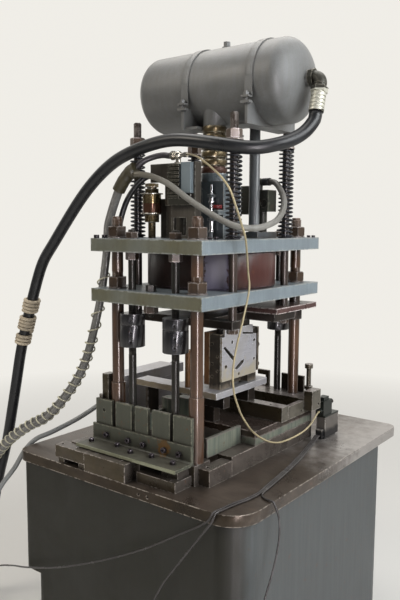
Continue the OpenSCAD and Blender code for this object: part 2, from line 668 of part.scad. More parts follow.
// ---------- solenoid valve group
module valve_bracket() color(rust) {
  difference() {
    bar([-18, 76], [-206, -192], [top, top + 110]);
    bar([-7, 46], [-210, -190], [top + 11, top + 69]);
  }
  bar([76, 83], [-206, -172], [top, top + 252]);
  bar([-66, 40], [-182, -174], [top + 110, top + 253]);
  bar([-132, -66], [-182, -174], [top + 190, top + 253]);
  bar([-66, 12], [-174, -130], [top, top + 135]);
  bar([-104, -66], [-160, -130], [top, top + 135]);
}
module solenoid_valve() {
  color(dark) difference() {
    union() {
      bar([-18, 75.9], [-224, -182.1], [top + 110.1, top + 132]);
      bar([-18, 30], [-226, -182.1], [top + 132, top + 245]);
    }
    for (z = [142:13:240]) bar([-19, 31], [-227, -221], [top + z, top + z + 5]);
  }
  color(plate_blue) difference() {
    bar([30.1, 75.9], [-222, -182.1], [top + 150, top + 250]);
    bar([29, 38], [-223, -215], [top + 149, top + 251]);
  }
}
tee_z = 1053;
module supply_tee() color(bright) {
  rod([6, -198], [top + 245, tee_z - 12], 18);
  hexagon([6, -198], [top + 245, top + 253], 24);
  press() translate([6, -198, tee_z]) sphere(d = 28);
  rod_x([-10, 6], -198, tee_z, 20);
  press() translate([-22, -198, tee_z]) rotate([0, 90, 0]) cylinder(h = 12, d = 31, $fn = 6);
  rod_x([6, 30], -198, tee_z, 14);
  press() translate([30, -198, tee_z]) rotate([0, 90, 0]) cylinder(h = 14, d = 17, $fn = 6);
  // fitting of the black hose on the top plate
  hexagon([-202, -262], [top, top + 14], 26);
  rod([-202, -262], [top + 14, top + 24], 22);
}
module air_filter() color(brass) {
  rod([-107, -203], [top, top + 54], 26);
  rod([-107, -203], [top + 54, top + 80], 50);
  for (z = [82, 149]) rod([-107, -203], [top + z, top + z + 4], 78);
  rod([-107, -203], [top + 80, top + 153], 64);
  hexagon([-107, -203], [top + 153, top + 168], 46, 12);
  rod([-107, -203], [top + 168, top + 173], 34);
  hexagon([-107, -203], [top + 173, top + 186], 40, 40);
}

// ---------- exhaust valve behind the support pipe
module side_valve() color(olive) difference() {
  union() {
    bar([62, 113], [92, 150], [top + 84, top + 186]);
    bar([113, 136], [100, 140], [top + 96, top + 172]);
    bar([136, 178], [92, 148], [top + 94, top + 170]);
    rod([140, 120], [top + 22, top + 97], 30);
    rod([129, 110], [top + 165, top + 190], 26);
    press() translate([129, 110, 976]) sphere(d = 30);
    rod_x([129, 145], 110, 976, 26);
  }
  rod_y([91, 104], 160, top + 123, 26);
}

// ---------- limit valve at the back right
module limit_valve() color(bright) {
  difference() {
    bar([262, 300], [338, 450], [6, 92]);
    bar([266, 296], [342, 446], [10, 88]);
  }
  for (y = [352, 436]) rod([281, y], [0, 6], 24);
  bar([268, 294], [322, 338], [6, 40]);
  difference() {
    bar([262, 296], [330, 400], [92, 150]);
    rod_y([380, 401], 279, 132, 12 + 2*fit);
  }
  bar([266, 292], [340, 380], [150, 164]);
  rod_y([318, 330], 285, 113, 15);
}
module limit_plunger() color(dark) {
  rod_y([386, 424], 279, 132, 12);
  rod_y([424, 430], 279, 132, 18);
}

// ---------- hoses and cables: a tube swept along points chosen by hand, in the press frame
function unit(v) = v/norm(v);
function along(p, i) = unit(p[min(i + 1, len(p) - 1)] - p[max(i - 1, 0)]);
// a direction across the tube that is carried along it, so that the rings don't twist
function carry(p, a, i = 0) = i == len(p) ? [] :
  let (t = along(p, i), n = unit(a - (a*t)*t)) concat([n], carry(p, n, i + 1));
function tube_ring(p, a, i, r, n) = let (b = cross(along(p, i), a))
  [for (k = [0:n-1]) p[i] + r*(a*cos(360*k/n) + b*sin(360*k/n))];
module tube(p, d, n = 8, start = [0.1, 1, 0.05]) {
  last = len(p) - 1;
  a = carry(p, start);
  side = [for (i = [0:last-1], k = [0:n-1]) let (j = i*n + k, m = i*n + (k + 1)%n)
    each [[j, m + n, m], [j, j + n, m + n]]];
  press() polyhedron(
    points = [for (i = [0:last]) each tube_ring(p, a[i], i, d/2, n)],
    faces = concat(side, [[for (k = [0:n-1]) k]], [[for (k = [n-1:-1:0]) last*n + k]]),
    convexity = 10);
}
main_route = [
  [424, -30.1, 1176.8], [424, -34, 1162.3], [422, -45, 1138], [415, -62, 1118], [394, -107, 1088],
  [367, -155, 1070], [315, -208, 1056], [252, -245, 1064], [175, -262, 1078], [100, -267, 1089],
  [25, -268, 1094], [-82, -270, 1079], [-207, -270, 1043], [-310, -270, 982], [-394, -270, 910],
  [-483, -270, 816], [-555, -270, 736], [-608, -272, 673], [-659, -280, 539], [-722, -290, 339],
  [-752, -295, 205], [-784, -300, 62], [-823, -300, -74], [-873, -302, -210], [-915, -303, -345],
  [-948, -305, -485], [-975, -307, -620], [-1008, -312, -720], [-1062, -330, -772],
  [-1125, -380, -781], [-1152, -460, -781], [-1150, -550, -781], [-1150, -620, -781]];
bundle_route = [
  [-137, -280, 995], [-158, -285, 973], [-180, -284, 947], [-203, -282, 908], [-228, -279, 860],
  [-251, -272, 817], [-265, -263, 775], [-268, -264, 722], [-268, -273, 669], [-268, -285, 606],
  [-269, -299, 547], [-277, -312, 478], [-300, -315, 402], [-330, -317, 329], [-370, -325, 255],
  [-430, -351, 168], [-495, -364, 107], [-585, -367, 60], [-679, -372, -1], [-781, -365, -82],
  [-862, -362, -175], [-918, -362, -290], [-948, -366, -430], [-962, -374, -560],
  [-972, -392, -680], [-982, -440, -756], [-990, -510, -779], [-990, -590, -779], [-990, -660, -779]];
grey_route = [
  [145, 110, 976], [166, 110, 976], [205, 92, 971], [250, 55, 944], [291, 10, 907],
  [316, -37, 874], [325, -80, 845], [322, -120, 828], [310, -182, 815], [274, -228, 818],
  [217, -240, 838], [133, -244, 880], [75, -248, 914], [18, -255, 952], [-19, -262, 970],
  [-54, -272, 983], [-90, -284, 989], [-112, -288, 988]];
brown_route = [
  [-22, -198, 1053], [-36, -198, 1053], [-56, -201, 1056], [-84, -212, 1052], [-112, -234, 1038],
  [-131, -262, 1010]];
black_route = [
  [-132, -178, 990], [-146, -178, 990], [-164, -190, 977], [-180, -214, 946], [-191, -238, 906],
  [-198, -254, 862], [-202, -262, 826], [-202, -262, 801]];
tube_route = [
  [44, -198, 1053], [56, -198, 1053], [105, -225, 1041], [157, -250, 1019], [198, -262, 995],
  [233, -264, 967], [270, -274, 930], [294, -276, 879], [296, -248, 826], [281, -201, 777],
  [270, -170, 682], [270, -162, 617], [268, -192, 523], [266, -221, 446], [264, -239, 369],
  [264, -234, 303], [264, -216, 258], [264, -179, 199], [264, -111, 132], [266, -18, 78],
  [270, 71, 56], [280, 184, 61], [286, 245, 80], [286, 288, 105], [285, 308, 113], [285, 318, 113]];
feeder_route = [
  [-340, -130.1, 170], [-340, -146, 170], [-360, -194, 153], [-405, -227, 115], [-450, -261, 79],
  [-505, -330, 38], [-543, -371, 15], [-571, -404, -26], [-590, -440, -90], [-612, -484, -150],
  [-630, -518, -220], [-646, -548, -330], [-655, -570, -460], [-660, -584, -600],
  [-666, -602, -710], [-678, -640, -775], [-692, -700, -791], [-692, -760, -791]];
cable_d = 6.4;
// three switch cables lie side by side on the table and part at its edges
function lead(side) = [
  [281 + side, 322, 18], [281 + side, 306, 18], [283 + side, 284, 10], [288 + side, 244, 3.4],
  [328 + side, 86, 3.4], [356 + side, -59, 3.4], [376 + side, -187, 3.4],
  [388 + side, -262, 3.4]];
cable_a_route = concat(lead(-7), [
  [378, -322, 3.4], [366, -380, 3.4], [360, -436, 3.6], [359, -457, 5], [357, -468, 3],
  [354, -471, -6], [344, -475, -24], [309, -478, -50], [264, -480, -78], [189, -482, -126],
  [105, -484, -178], [-11, -486, -240], [-139, -488, -301], [-300, -490, -369], [-486, -474, -436],
  [-640, -425, -500], [-783, -384, -566], [-850, -392, -620], [-886, -425, -700],
  [-898, -490, -770], [-902, -560, -796], [-902, -640, -796]]);
cable_b_route = concat(lead(0), [
  [387, -322, 3.4], [376, -380, 3.4], [369, -436, 3.6], [368, -457, 5], [366, -468, 3],
  [363, -471, -6], [356, -476, -26], [325, -486, -72], [254, -490, -169], [190, -494, -260],
  [135, -498, -370], [100, -502, -490], [80, -508, -620], [66, -524, -730], [56, -570, -788],
  [50, -630, -796], [50, -690, -796]]);
cable_c_route = concat(lead(7), [
  [414, -286, 3.4], [432, -294, 3.6], [446, -296, 5], [455, -296, 3], [459, -295, -6],
  [468, -294, -24], [475, -294, -50], [479, -298, -90], [480, -312, -140], [480, -340, -200],
  [478, -379, -270], [476, -408, -360], [474, -428, -480], [473, -440, -610], [475, -458, -720],
  [479, -500, -786], [482, -560, -796], [482, -620, -796]]);
module main_hose() color(black) tube(main_route, hose_d, 10);
module hose_bundle() color(dark) tube(bundle_route, 42, 10);
module grey_hose() color(grey) tube(grey_route, 20, 8);
module brown_hose() color(dark) tube(brown_route, 20, 8);
module black_hose() color(black) tube(black_route, 20, 8);
module air_tube() color([0.6, 0.55, 0.4]) tube(tube_route, 6.5, 8);
module feeder_cable() color(grey) tube(feeder_route, 18, 8);
module switch_cable_a() color(black) tube(cable_a_route, cable_d, 8, [1, 0.1, 0.3]);
module switch_cable_b() color(black) tube(cable_b_route, cable_d, 8, [1, 0.1, 0.3]);
module switch_cable_c() color(black) tube(cable_c_route, cable_d, 8, [1, 0.1, 0.3]);
// end fittings that lie on the floor, each facing the end of its hose or cable
module cord_end(p, d, l) {
  rod_y([p[1] - l, p[1]], p[0], p[2], d);
}
module cord_fittings() color(bright) {
  cord_end([-1150, -620, -781], 38, 60);
  cord_end([-990, -660, -779], 42, 60);
  cord_end([-692, -760, -791], 18, 50);
  cord_end([-902, -640, -795], 10, 32);
  cord_end([50, -690, -795], 10, 32);
  cord_end([482, -620, -795], 10, 32);
}

cabinet();
table_top();
base_runners();
front_bars();
angle_bracket();
stop_plates();
cap_screws();
side_walls();
base_plate();
guide_rails();
posts();
frame_nuts();
lower_plate();
top_plate();
tie_rods();
couplings();
cylinder_barrel();
piston();
piston_rod();
rod_bushing();
platen();
platen_shelf();
post_bushings();
punch_holder();
cutter_blade();
spring_rods();
spring_nuts();
return_springs();
die_shoe();
die_risers();
die_block();
face_plate();
die_strip();
infeed_shelf();
tank_shell();
tank_saddles();
support_pipes();
tank_elbow();
stack_valve();
stack_coupling();
spool_rod();
reset_knob();
valve_bracket();
solenoid_valve();
supply_tee();
air_filter();
side_valve();
limit_valve();
limit_plunger();
cord_fittings();
main_hose();
hose_bundle();
grey_hose();
brown_hose();
black_hose();
air_tube();
feeder_cable();
switch_cable_a();
switch_cable_b();
switch_cable_c();
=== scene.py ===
"""The look of a pneumatic cutoff press: finishes, edges, springs, threads, hoses and cables."""
import json
import math

import bmesh
import bpy
from mathutils import Matrix, Vector


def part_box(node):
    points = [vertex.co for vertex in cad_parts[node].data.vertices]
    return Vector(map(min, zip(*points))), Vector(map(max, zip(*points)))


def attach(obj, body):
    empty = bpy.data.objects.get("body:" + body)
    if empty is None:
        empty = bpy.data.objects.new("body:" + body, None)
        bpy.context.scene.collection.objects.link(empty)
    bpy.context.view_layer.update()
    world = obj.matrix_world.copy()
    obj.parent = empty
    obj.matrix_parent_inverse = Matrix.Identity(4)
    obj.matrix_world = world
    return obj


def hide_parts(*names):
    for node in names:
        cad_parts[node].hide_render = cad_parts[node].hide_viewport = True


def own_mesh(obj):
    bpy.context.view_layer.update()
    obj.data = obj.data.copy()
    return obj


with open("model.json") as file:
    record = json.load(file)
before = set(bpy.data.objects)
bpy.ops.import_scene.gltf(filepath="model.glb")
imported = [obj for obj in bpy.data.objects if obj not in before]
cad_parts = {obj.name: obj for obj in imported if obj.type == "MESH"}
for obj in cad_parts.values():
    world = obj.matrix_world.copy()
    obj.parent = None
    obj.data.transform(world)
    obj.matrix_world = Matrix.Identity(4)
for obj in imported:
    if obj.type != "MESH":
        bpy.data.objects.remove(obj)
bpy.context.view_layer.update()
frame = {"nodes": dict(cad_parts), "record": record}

# ---------------------------------------------------------------- places in the frame
plate_low, plate_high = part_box("lower_plate")
table_top_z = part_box("table_top")[1].z
press_centre = Vector(((plate_low.x + plate_high.x) / 2, (plate_low.y + plate_high.y) / 2, table_top_z))


def at(x, y, z):
    """A point measured from the middle of the plates and the top of the table, in metres."""
    return press_centre + Vector((x, y, z))


# ---------------------------------------------------------------- camera, light and stage
def add_object(name, data):
    thing = bpy.data.objects.new(name, data)
    bpy.context.scene.collection.objects.link(thing)
    return thing


def set_camera():
    """A standing eye in front of the press's near right corner."""
    lens = bpy.data.cameras.new("camera")
    lens.sensor_fit = "VERTICAL"
    lens.sensor_height = 36
    lens.lens = 40.5
    lens.clip_end = 100
    camera = add_object("camera", lens)
    eye = (1.4974, -2.0826, 1.6294)
    turn, down, roll = (math.radians(a) for a in (37.42, 6.51, 0.30))
    camera.matrix_world = (Matrix.Translation(eye) @ Matrix.Rotation(turn, 4, "Z")
                           @ Matrix.Rotation(math.pi / 2 - down, 4, "X") @ Matrix.Rotation(roll, 4, "Z"))
    bpy.context.scene.camera = camera


def area_lamp(name, place, target, size, watts, colour=(1, 1, 1)):
    lamp = bpy.data.lights.new(name, "AREA")
    lamp.shape = "RECTANGLE"
    lamp.size, lamp.size_y = size
    lamp.energy = watts
    lamp.color = colour
    holder = add_object(name, lamp)
    holder.location = place
    holder.rotation_mode = "QUATERNION"
    holder.rotation_quaternion = (Vector(target) - Vector(place)).to_track_quat("-Z", "Y")
    return holder


def set_light():
    area_lamp("hall_light", (3.6, -0.2, 3.2), (0.1, 0, 1.1), (2.2, 2.6), 120, (0.95, 0.98, 1))
    area_lamp("roof_light", (-0.3, 0.6, 4.6), (0, 0, 1), (3.2, 3.2), 85, (1, 0.98, 0.95))
    area_lamp("front_light", (-2.0, -3.4, 4.2), (0, 0, 1.6), (1.8, 1.8), 55, (1, 0.93, 0.82))
    # a tall narrow window, which only shows as a line of light on what is polished
    window = area_lamp("window", (2.65, -2.45, 1.35), (0, 0, 1.35), (0.30, 2.6), 75, (1, 0.94, 0.97))
    window.visible_diffuse = False
    window.visible_camera = False
    bpy.context.scene.view_settings.view_transform = "Standard"


set_camera()
set_light()


# ---------------------------------------------------------------- node trees
class Tree:
    """Adds and links the nodes of one shader or geometry tree."""

    def __init__(self, tree):
        self.tree = tree

    def put(self, socket, value):
        if isinstance(value, bpy.types.NodeSocket):
            self.tree.links.new(value, socket)
        else:
            socket.default_value = value

    def add(self, kind, inputs=None, **settings):
        node = self.tree.nodes.new(kind)
        for name, value in settings.items():
            setattr(node, name, value)
        for name, value in (inputs or {}).items():
            self.put(node.inputs[name], value)
        return node

    def math(self, operation, a, b=0.0, clamp=False):
        node = self.add("ShaderNodeMath", {0: a, 1: b}, operation=operation, use_clamp=clamp)
        return node.outputs[0]

    def mix(self, factor, a, b, blend="MIX"):
        node = self.add("ShaderNodeMix", {0: factor, 6: a, 7: b}, data_type="RGBA", blend_type=blend)
        return node.outputs[2]

    def ramp(self, value, low, high, to_low=0.0, to_high=1.0):
        node = self.add("ShaderNodeMapRange", {0: value, 1: low, 2: high, 3: to_low, 4: to_high})
        return node.outputs[0]

    def noise(self, vector, scale, detail=3.0, rough=0.55, warp=0.0):
        node = self.add("ShaderNodeTexNoise", {"Vector": vector, "Scale": scale, "Detail": detail,
                                               "Roughness": rough, "Distortion": warp})
        return node.outputs[0]

    def stretched(self, vector, scale):
        """The vector scaled by its own amount along each axis."""
        node = self.add("ShaderNodeMapping", {"Vector": vector, "Scale": scale})
        return node.outputs[0]

    def group(self, name, **inputs):
        node = self.tree.nodes.new("ShaderNodeGroup")
        node.node_tree = bpy.data.node_groups[name]
        for socket, value in inputs.items():
            self.put(node.inputs[socket], value)
        return node.outputs


def new_group(name, inputs, outputs):
    """A shader node group with float inputs, a dict of name and default, and float outputs."""
    tree = bpy.data.node_groups.new(name, "ShaderNodeTree")
    for socket, value in inputs.items():
        made = tree.interface.new_socket(socket, in_out="INPUT", socket_type="NodeSocketFloat")
        made.default_value = value
    for socket in outputs:
        tree.interface.new_socket(socket, in_out="OUTPUT", socket_type="NodeSocketFloat")
    t = Tree(tree)
    return t, t.add("NodeGroupInput").outputs, t.add("NodeGroupOutput").inputs


def object_coords(t):
    return t.add("ShaderNodeTexCoord").outputs["Object"]


def make_edge_wear():
    """Mask of outer edges, broken up by noise: where paint chips and hands rub."""
    t, given, result = new_group("edge wear", {"Reach": 0.006, "Amount": 1.0, "Scale": 40.0}, ["Mask"])
    inside = t.add("ShaderNodeAmbientOcclusion", {"Distance": given["Reach"]}, samples=6,
                   inside=True, only_local=True)
    edge = t.ramp(inside.outputs["AO"], 1.0, 0.62)
    patches = t.noise(object_coords(t), given["Scale"], 4.0, 0.7)
    strength = t.math("MULTIPLY", t.ramp(patches, 0.34, 0.62), given["Amount"])
    t.put(result["Mask"], t.ramp(t.math("MULTIPLY", edge, strength), 0.16, 0.42))


def make_grime_and_corner_shade():
    """Mask of painted shade where pieces meet and in corners, from occlusion, broken into patches of greasy
    soiling.
    """
    t, given, result = new_group("grime", {"Reach": 0.05, "Amount": 1.0, "Scale": 18.0}, ["Mask"])
    near = t.add("ShaderNodeAmbientOcclusion", {"Distance": given["Reach"]}, samples=6)
    shade = t.ramp(near.outputs["AO"], 0.92, 0.35)
    patches = t.noise(object_coords(t), given["Scale"], 4.0, 0.65)
    strength = t.math("MULTIPLY", t.ramp(patches, 0.25, 0.7, 0.35, 1.0), given["Amount"])
    t.put(result["Mask"], t.math("MULTIPLY", shade, strength, clamp=True))


def make_mottle():
    """Broad stains, fine grain and small spots, all from 0 to 1."""
    t, given, result = new_group("mottle", {"Scale": 1.0}, ["Stain", "Grain", "Spots"])
    where = t.add("ShaderNodeVectorMath", {0: object_coords(t), "Scale": given["Scale"]},
                  operation="SCALE").outputs[0]
    t.put(result["Stain"], t.ramp(t.noise(where, 6.0, 5.0, 0.6, 0.6), 0.3, 0.7))
    t.put(result["Grain"], t.ramp(t.noise(where, 260.0, 3.0, 0.6), 0.3, 0.7))
    t.put(result["Spots"], t.ramp(t.noise(where, 46.0, 4.0, 0.7), 0.62, 0.72))


def make_streaks():
    """Marks drawn out along Z, for drips and rubbed uprights."""
    t, given, result = new_group("streaks", {"Fine": 60.0, "Long": 2.0}, ["Mask"])
    size = t.add("ShaderNodeCombineXYZ", {0: given["Fine"], 1: given["Fine"], 2: given["Long"]}).outputs[0]
    drawn = t.add("ShaderNodeVectorMath", {0: object_coords(t), 1: size}, operation="MULTIPLY").outputs[0]
    t.put(result["Mask"], t.ramp(t.noise(drawn, 1.0, 3.0, 0.6), 0.35, 0.68))


def make_top_dust():
    """Mask of faces that look up, where dust and swarf lie."""
    t, given, result = new_group("top dust", {"Amount": 1.0, "Scale": 14.0}, ["Mask"])
    normal = t.add("ShaderNodeNewGeometry").outputs["Normal"]
    up = t.ramp(t.add("ShaderNodeSeparateXYZ", {0: normal}).outputs[2], 0.6, 0.98)
    patches = t.ramp(t.noise(object_coords(t), given["Scale"], 5.0, 0.7), 0.3, 0.75)
    t.put(result["Mask"], t.math("MULTIPLY", t.math("MULTIPLY", up, patches), given["Amount"], clamp=True))


def make_front_shade():
    """Mask of faces that look to the front, towards the operator, in patches: painted shade on that side."""
    t, given, result = new_group("oil film", {"Amount": 1.0, "Scale": 7.0}, ["Mask"])
    normal = t.add("ShaderNodeNewGeometry").outputs["Normal"]
    front = t.ramp(t.add("ShaderNodeSeparateXYZ", {0: normal}).outputs[1], -0.35, -0.85)
    patches = t.ramp(t.noise(object_coords(t), given["Scale"], 5.0, 0.6), 0.25, 0.6, 0.65, 1.0)
    t.put(result["Mask"], t.math("MULTIPLY", t.math("MULTIPLY", front, patches), given["Amount"], clamp=True))


for make in (make_edge_wear, make_grime_and_corner_shade, make_mottle, make_streaks, make_top_dust, make_front_shade):
    make()


# ---------------------------------------------------------------- finishes
SLOT_OF = {part["node"]: part["material_slot"] for part in frame["record"]["subparts"]}


def rgb(r, g, b):
    """An opaque colour, linear."""
    return (r, g, b, 1.0)


def shaded(colour, amount):
    """The colour made lighter or darker."""
    return rgb(*(min(1.0, c * amount) for c in colour[:3]))


def new_finish(name):
    """A material, its tree and its Principled shader."""
    material = bpy.data.materials.new(name)
    material.use_nodes = True
    t = Tree(material.node_tree)
    shader = material.node_tree.nodes["Principled BSDF"]
    return material, t, shader


def bump(t, shader, height, depth, strength=1.0):
    node = t.add("ShaderNodeBump", {"Height": height, "Distance": depth, "Strength": strength})
    t.put(shader.inputs["Normal"], node.outputs[0])


# warm tint of the painted shade on faces that look to the front
FRONT_SHADE_TINT = rgb(0.52, 0.44, 0.30)
# near-black of greasy soiling and painted shade in corners and between pieces
OILY_DIRT_AND_SHADE = rgb(0.022, 0.018, 0.014)
DUST = rgb(0.30, 0.26, 0.21)
RUST = rgb(0.16, 0.062, 0.026)
BARE_STEEL = rgb(0.30, 0.27, 0.25)


def worn_paint(name, paint, bare=BARE_STEEL, chips=1.0, dirt_and_corner_shade=1.0, reach=0.006, gloss=0.42, rust=0.6,
               dust=0.35, drips=0.25, front_shade=0.0, front_shade_tint=FRONT_SHADE_TINT, drip_colour=None):
    """Old machine paint: stained, rubbed through at the edges, spotted with rust; oil soiling and painted
    shade in the corners, painted shade on front faces if asked.
    """
    material, t, shader = new_finish(name)
    stain, grain, spots = t.group("mottle", Scale=1.0)
    colour = t.mix(stain, shaded(paint, 0.80), shaded(paint, 1.12))
    colour = t.mix(t.math("MULTIPLY", grain, 0.35), colour, shaded(paint, 0.62))
    run = t.group("streaks", Fine=70.0, Long=3.0)[0]
    colour = t.mix(t.math("MULTIPLY", run, drips), colour, drip_colour or shaded(paint, 0.45))
    colour = t.mix(t.math("MULTIPLY", spots, rust), colour, RUST)
    # painted shade, tinted, on faces that look to the front
    if front_shade:
        front_shaded = t.group("oil film", Amount=front_shade)[0]
        colour = t.mix(front_shaded, colour, front_shade_tint, blend="MULTIPLY")
    chip = t.group("edge wear", Reach=reach, Amount=chips, Scale=55.0)[0]
    colour = t.mix(chip, colour, bare)
    top = t.group("top dust", Amount=dust)[0]
    colour = t.mix(top, colour, DUST)
    # greasy soiling and painted shade in corners and between pieces
    dirt_and_shade_mask = t.group("grime", Reach=0.045, Amount=dirt_and_corner_shade)[0]
    colour = t.mix(dirt_and_shade_mask, colour, OILY_DIRT_AND_SHADE)
    t.put(shader.inputs["Base Color"], colour)
    t.put(shader.inputs["Metallic"], t.math("MULTIPLY", chip, 0.7))
    rough = t.math("ADD", t.ramp(stain, 0, 1, gloss - 0.07, gloss + 0.10), t.math("MULTIPLY", top, 0.25))
    t.put(shader.inputs["Roughness"], rough)
    height = t.math("SUBTRACT", t.math("MULTIPLY", grain, 0.5), t.math("MULTIPLY", chip, 0.8))
    bump(t, shader, height, 0.0006, 0.6)
    return material


def worn_steel(name, steel, stains, rubbed, polish=0.34, rust=0.5, dirt_and_corner_shade=1.0, metal=0.85, edges=0.8,
               reach=0.004, grain_scale=(160.0, 160.0, 9.0), stain_scale=1.0, dust=0.2, front_shade=0.0,
               front_shade_tint=FRONT_SHADE_TINT, top_colour=shaded(DUST, 0.7), oiled=0.0):
    """Machined steel that has browned: drawn grain, brown stains, bright rubbed edges, oil soiling and
    painted shade in the corners, painted shade on front faces if asked.
    """
    material, t, shader = new_finish(name)
    stain, grain, spots = t.group("mottle", Scale=stain_scale)
    drawn = t.noise(t.stretched(object_coords(t), grain_scale), 1.0, 3.0, 0.6)
    colour = t.mix(stain, steel, stains)
    colour = t.mix(t.ramp(drawn, 0.3, 0.75, 0.0, 0.45), colour, shaded(steel, 0.55))
    colour = t.mix(t.math("MULTIPLY", spots, rust), colour, RUST)
    # painted shade, tinted, on faces that look to the front
    if front_shade:
        colour = t.mix(t.group("oil film", Amount=front_shade)[0], colour, front_shade_tint, blend="MULTIPLY")
    worn = t.group("edge wear", Reach=reach, Amount=edges, Scale=70.0)[0]
    colour = t.mix(worn, colour, rubbed)
    top = t.group("top dust", Amount=dust)[0]
    colour = t.mix(top, colour, top_colour)
    # greasy soiling and painted shade in corners and between pieces
    dirt_and_shade_mask = t.group("grime", Reach=0.05, Amount=dirt_and_corner_shade)[0]
    colour = t.mix(dirt_and_shade_mask, colour, OILY_DIRT_AND_SHADE)
    t.put(shader.inputs["Base Color"], colour)
    rusty = t.math("MULTIPLY", t.math("ADD", dirt_and_shade_mask, t.math("MULTIPLY", spots, rust), clamp=True), 0.6)
    t.put(shader.inputs["Metallic"], t.math("SUBTRACT", metal, rusty, clamp=True))
    shader.inputs["Coat Weight"].default_value = oiled
    shader.inputs["Coat Roughness"].default_value = 0.09
    rough = t.math("ADD", t.ramp(stain, 0, 1, polish - 0.06, polish + 0.14), t.math("MULTIPLY", grain, 0.06))
    t.put(shader.inputs["Roughness"], rough)
    height = t.math("ADD", t.math("MULTIPLY", drawn, 0.5), t.math("MULTIPLY", spots, 0.5))
    bump(t, shader, height, 0.0004, 0.6)
    return material


def hose_rubber(name, colour, gloss=0.38, scuffs=0.5, scuff_colour=rgb(0.30, 0.30, 0.29)):
    """Rubber or plastic cover with scuffs along it; UV runs round and, in metres, along the hose."""
    material, t, shader = new_finish(name)
    along = t.add("ShaderNodeUVMap", uv_map="along").outputs[0]
    stain, grain = t.group("mottle", Scale=1.6)[:2]
    tone = t.mix(stain, shaded(colour, 0.75), shaded(colour, 1.25))
    rub = t.ramp(t.noise(t.stretched(along, (3.0, 14.0, 1.0)), 1.0, 5.0, 0.75), 0.56, 0.74)
    tone = t.mix(t.math("MULTIPLY", rub, scuffs), tone, scuff_colour)
    # greasy soiling and painted shade where the hose lies near other pieces
    dirt_and_shade_mask = t.group("grime", Reach=0.03, Amount=0.6)[0]
    t.put(shader.inputs["Base Color"], t.mix(dirt_and_shade_mask, tone, OILY_DIRT_AND_SHADE))
    t.put(shader.inputs["Roughness"], t.ramp(stain, 0, 1, gloss - 0.06, gloss + 0.12))
    bump(t, shader, t.math("MULTIPLY", grain, 0.3), 0.0005, 0.5)
    return material


def plain_finish(name, colour, roughness, metal=0.0, variation=0.2, edges=None, dirt_and_corner_shade=0.7):
    """A simpler finish for small fittings, still stained and worn, with oil soiling and painted shade in the
    corners.
    """
    material, t, shader = new_finish(name)
    stain, grain = t.group("mottle", Scale=3.0)[:2]
    tone = t.mix(stain, shaded(colour, 1 - variation), shaded(colour, 1 + variation))
    if edges:
        tone = t.mix(t.group("edge wear", Reach=0.0025, Amount=1.0, Scale=120.0)[0], tone, edges)
    # greasy soiling and painted shade in corners and between pieces
    dirt_and_shade_mask = t.group("grime", Reach=0.02, Amount=dirt_and_corner_shade)[0]
    t.put(shader.inputs["Base Color"], t.mix(dirt_and_shade_mask, tone, OILY_DIRT_AND_SHADE))
    t.put(shader.inputs["Roughness"], t.ramp(grain, 0, 1, roughness - 0.08, roughness + 0.08))
    shader.inputs["Metallic"].default_value = metal
    bump(t, shader, grain, 0.0003, 0.4)
    return material
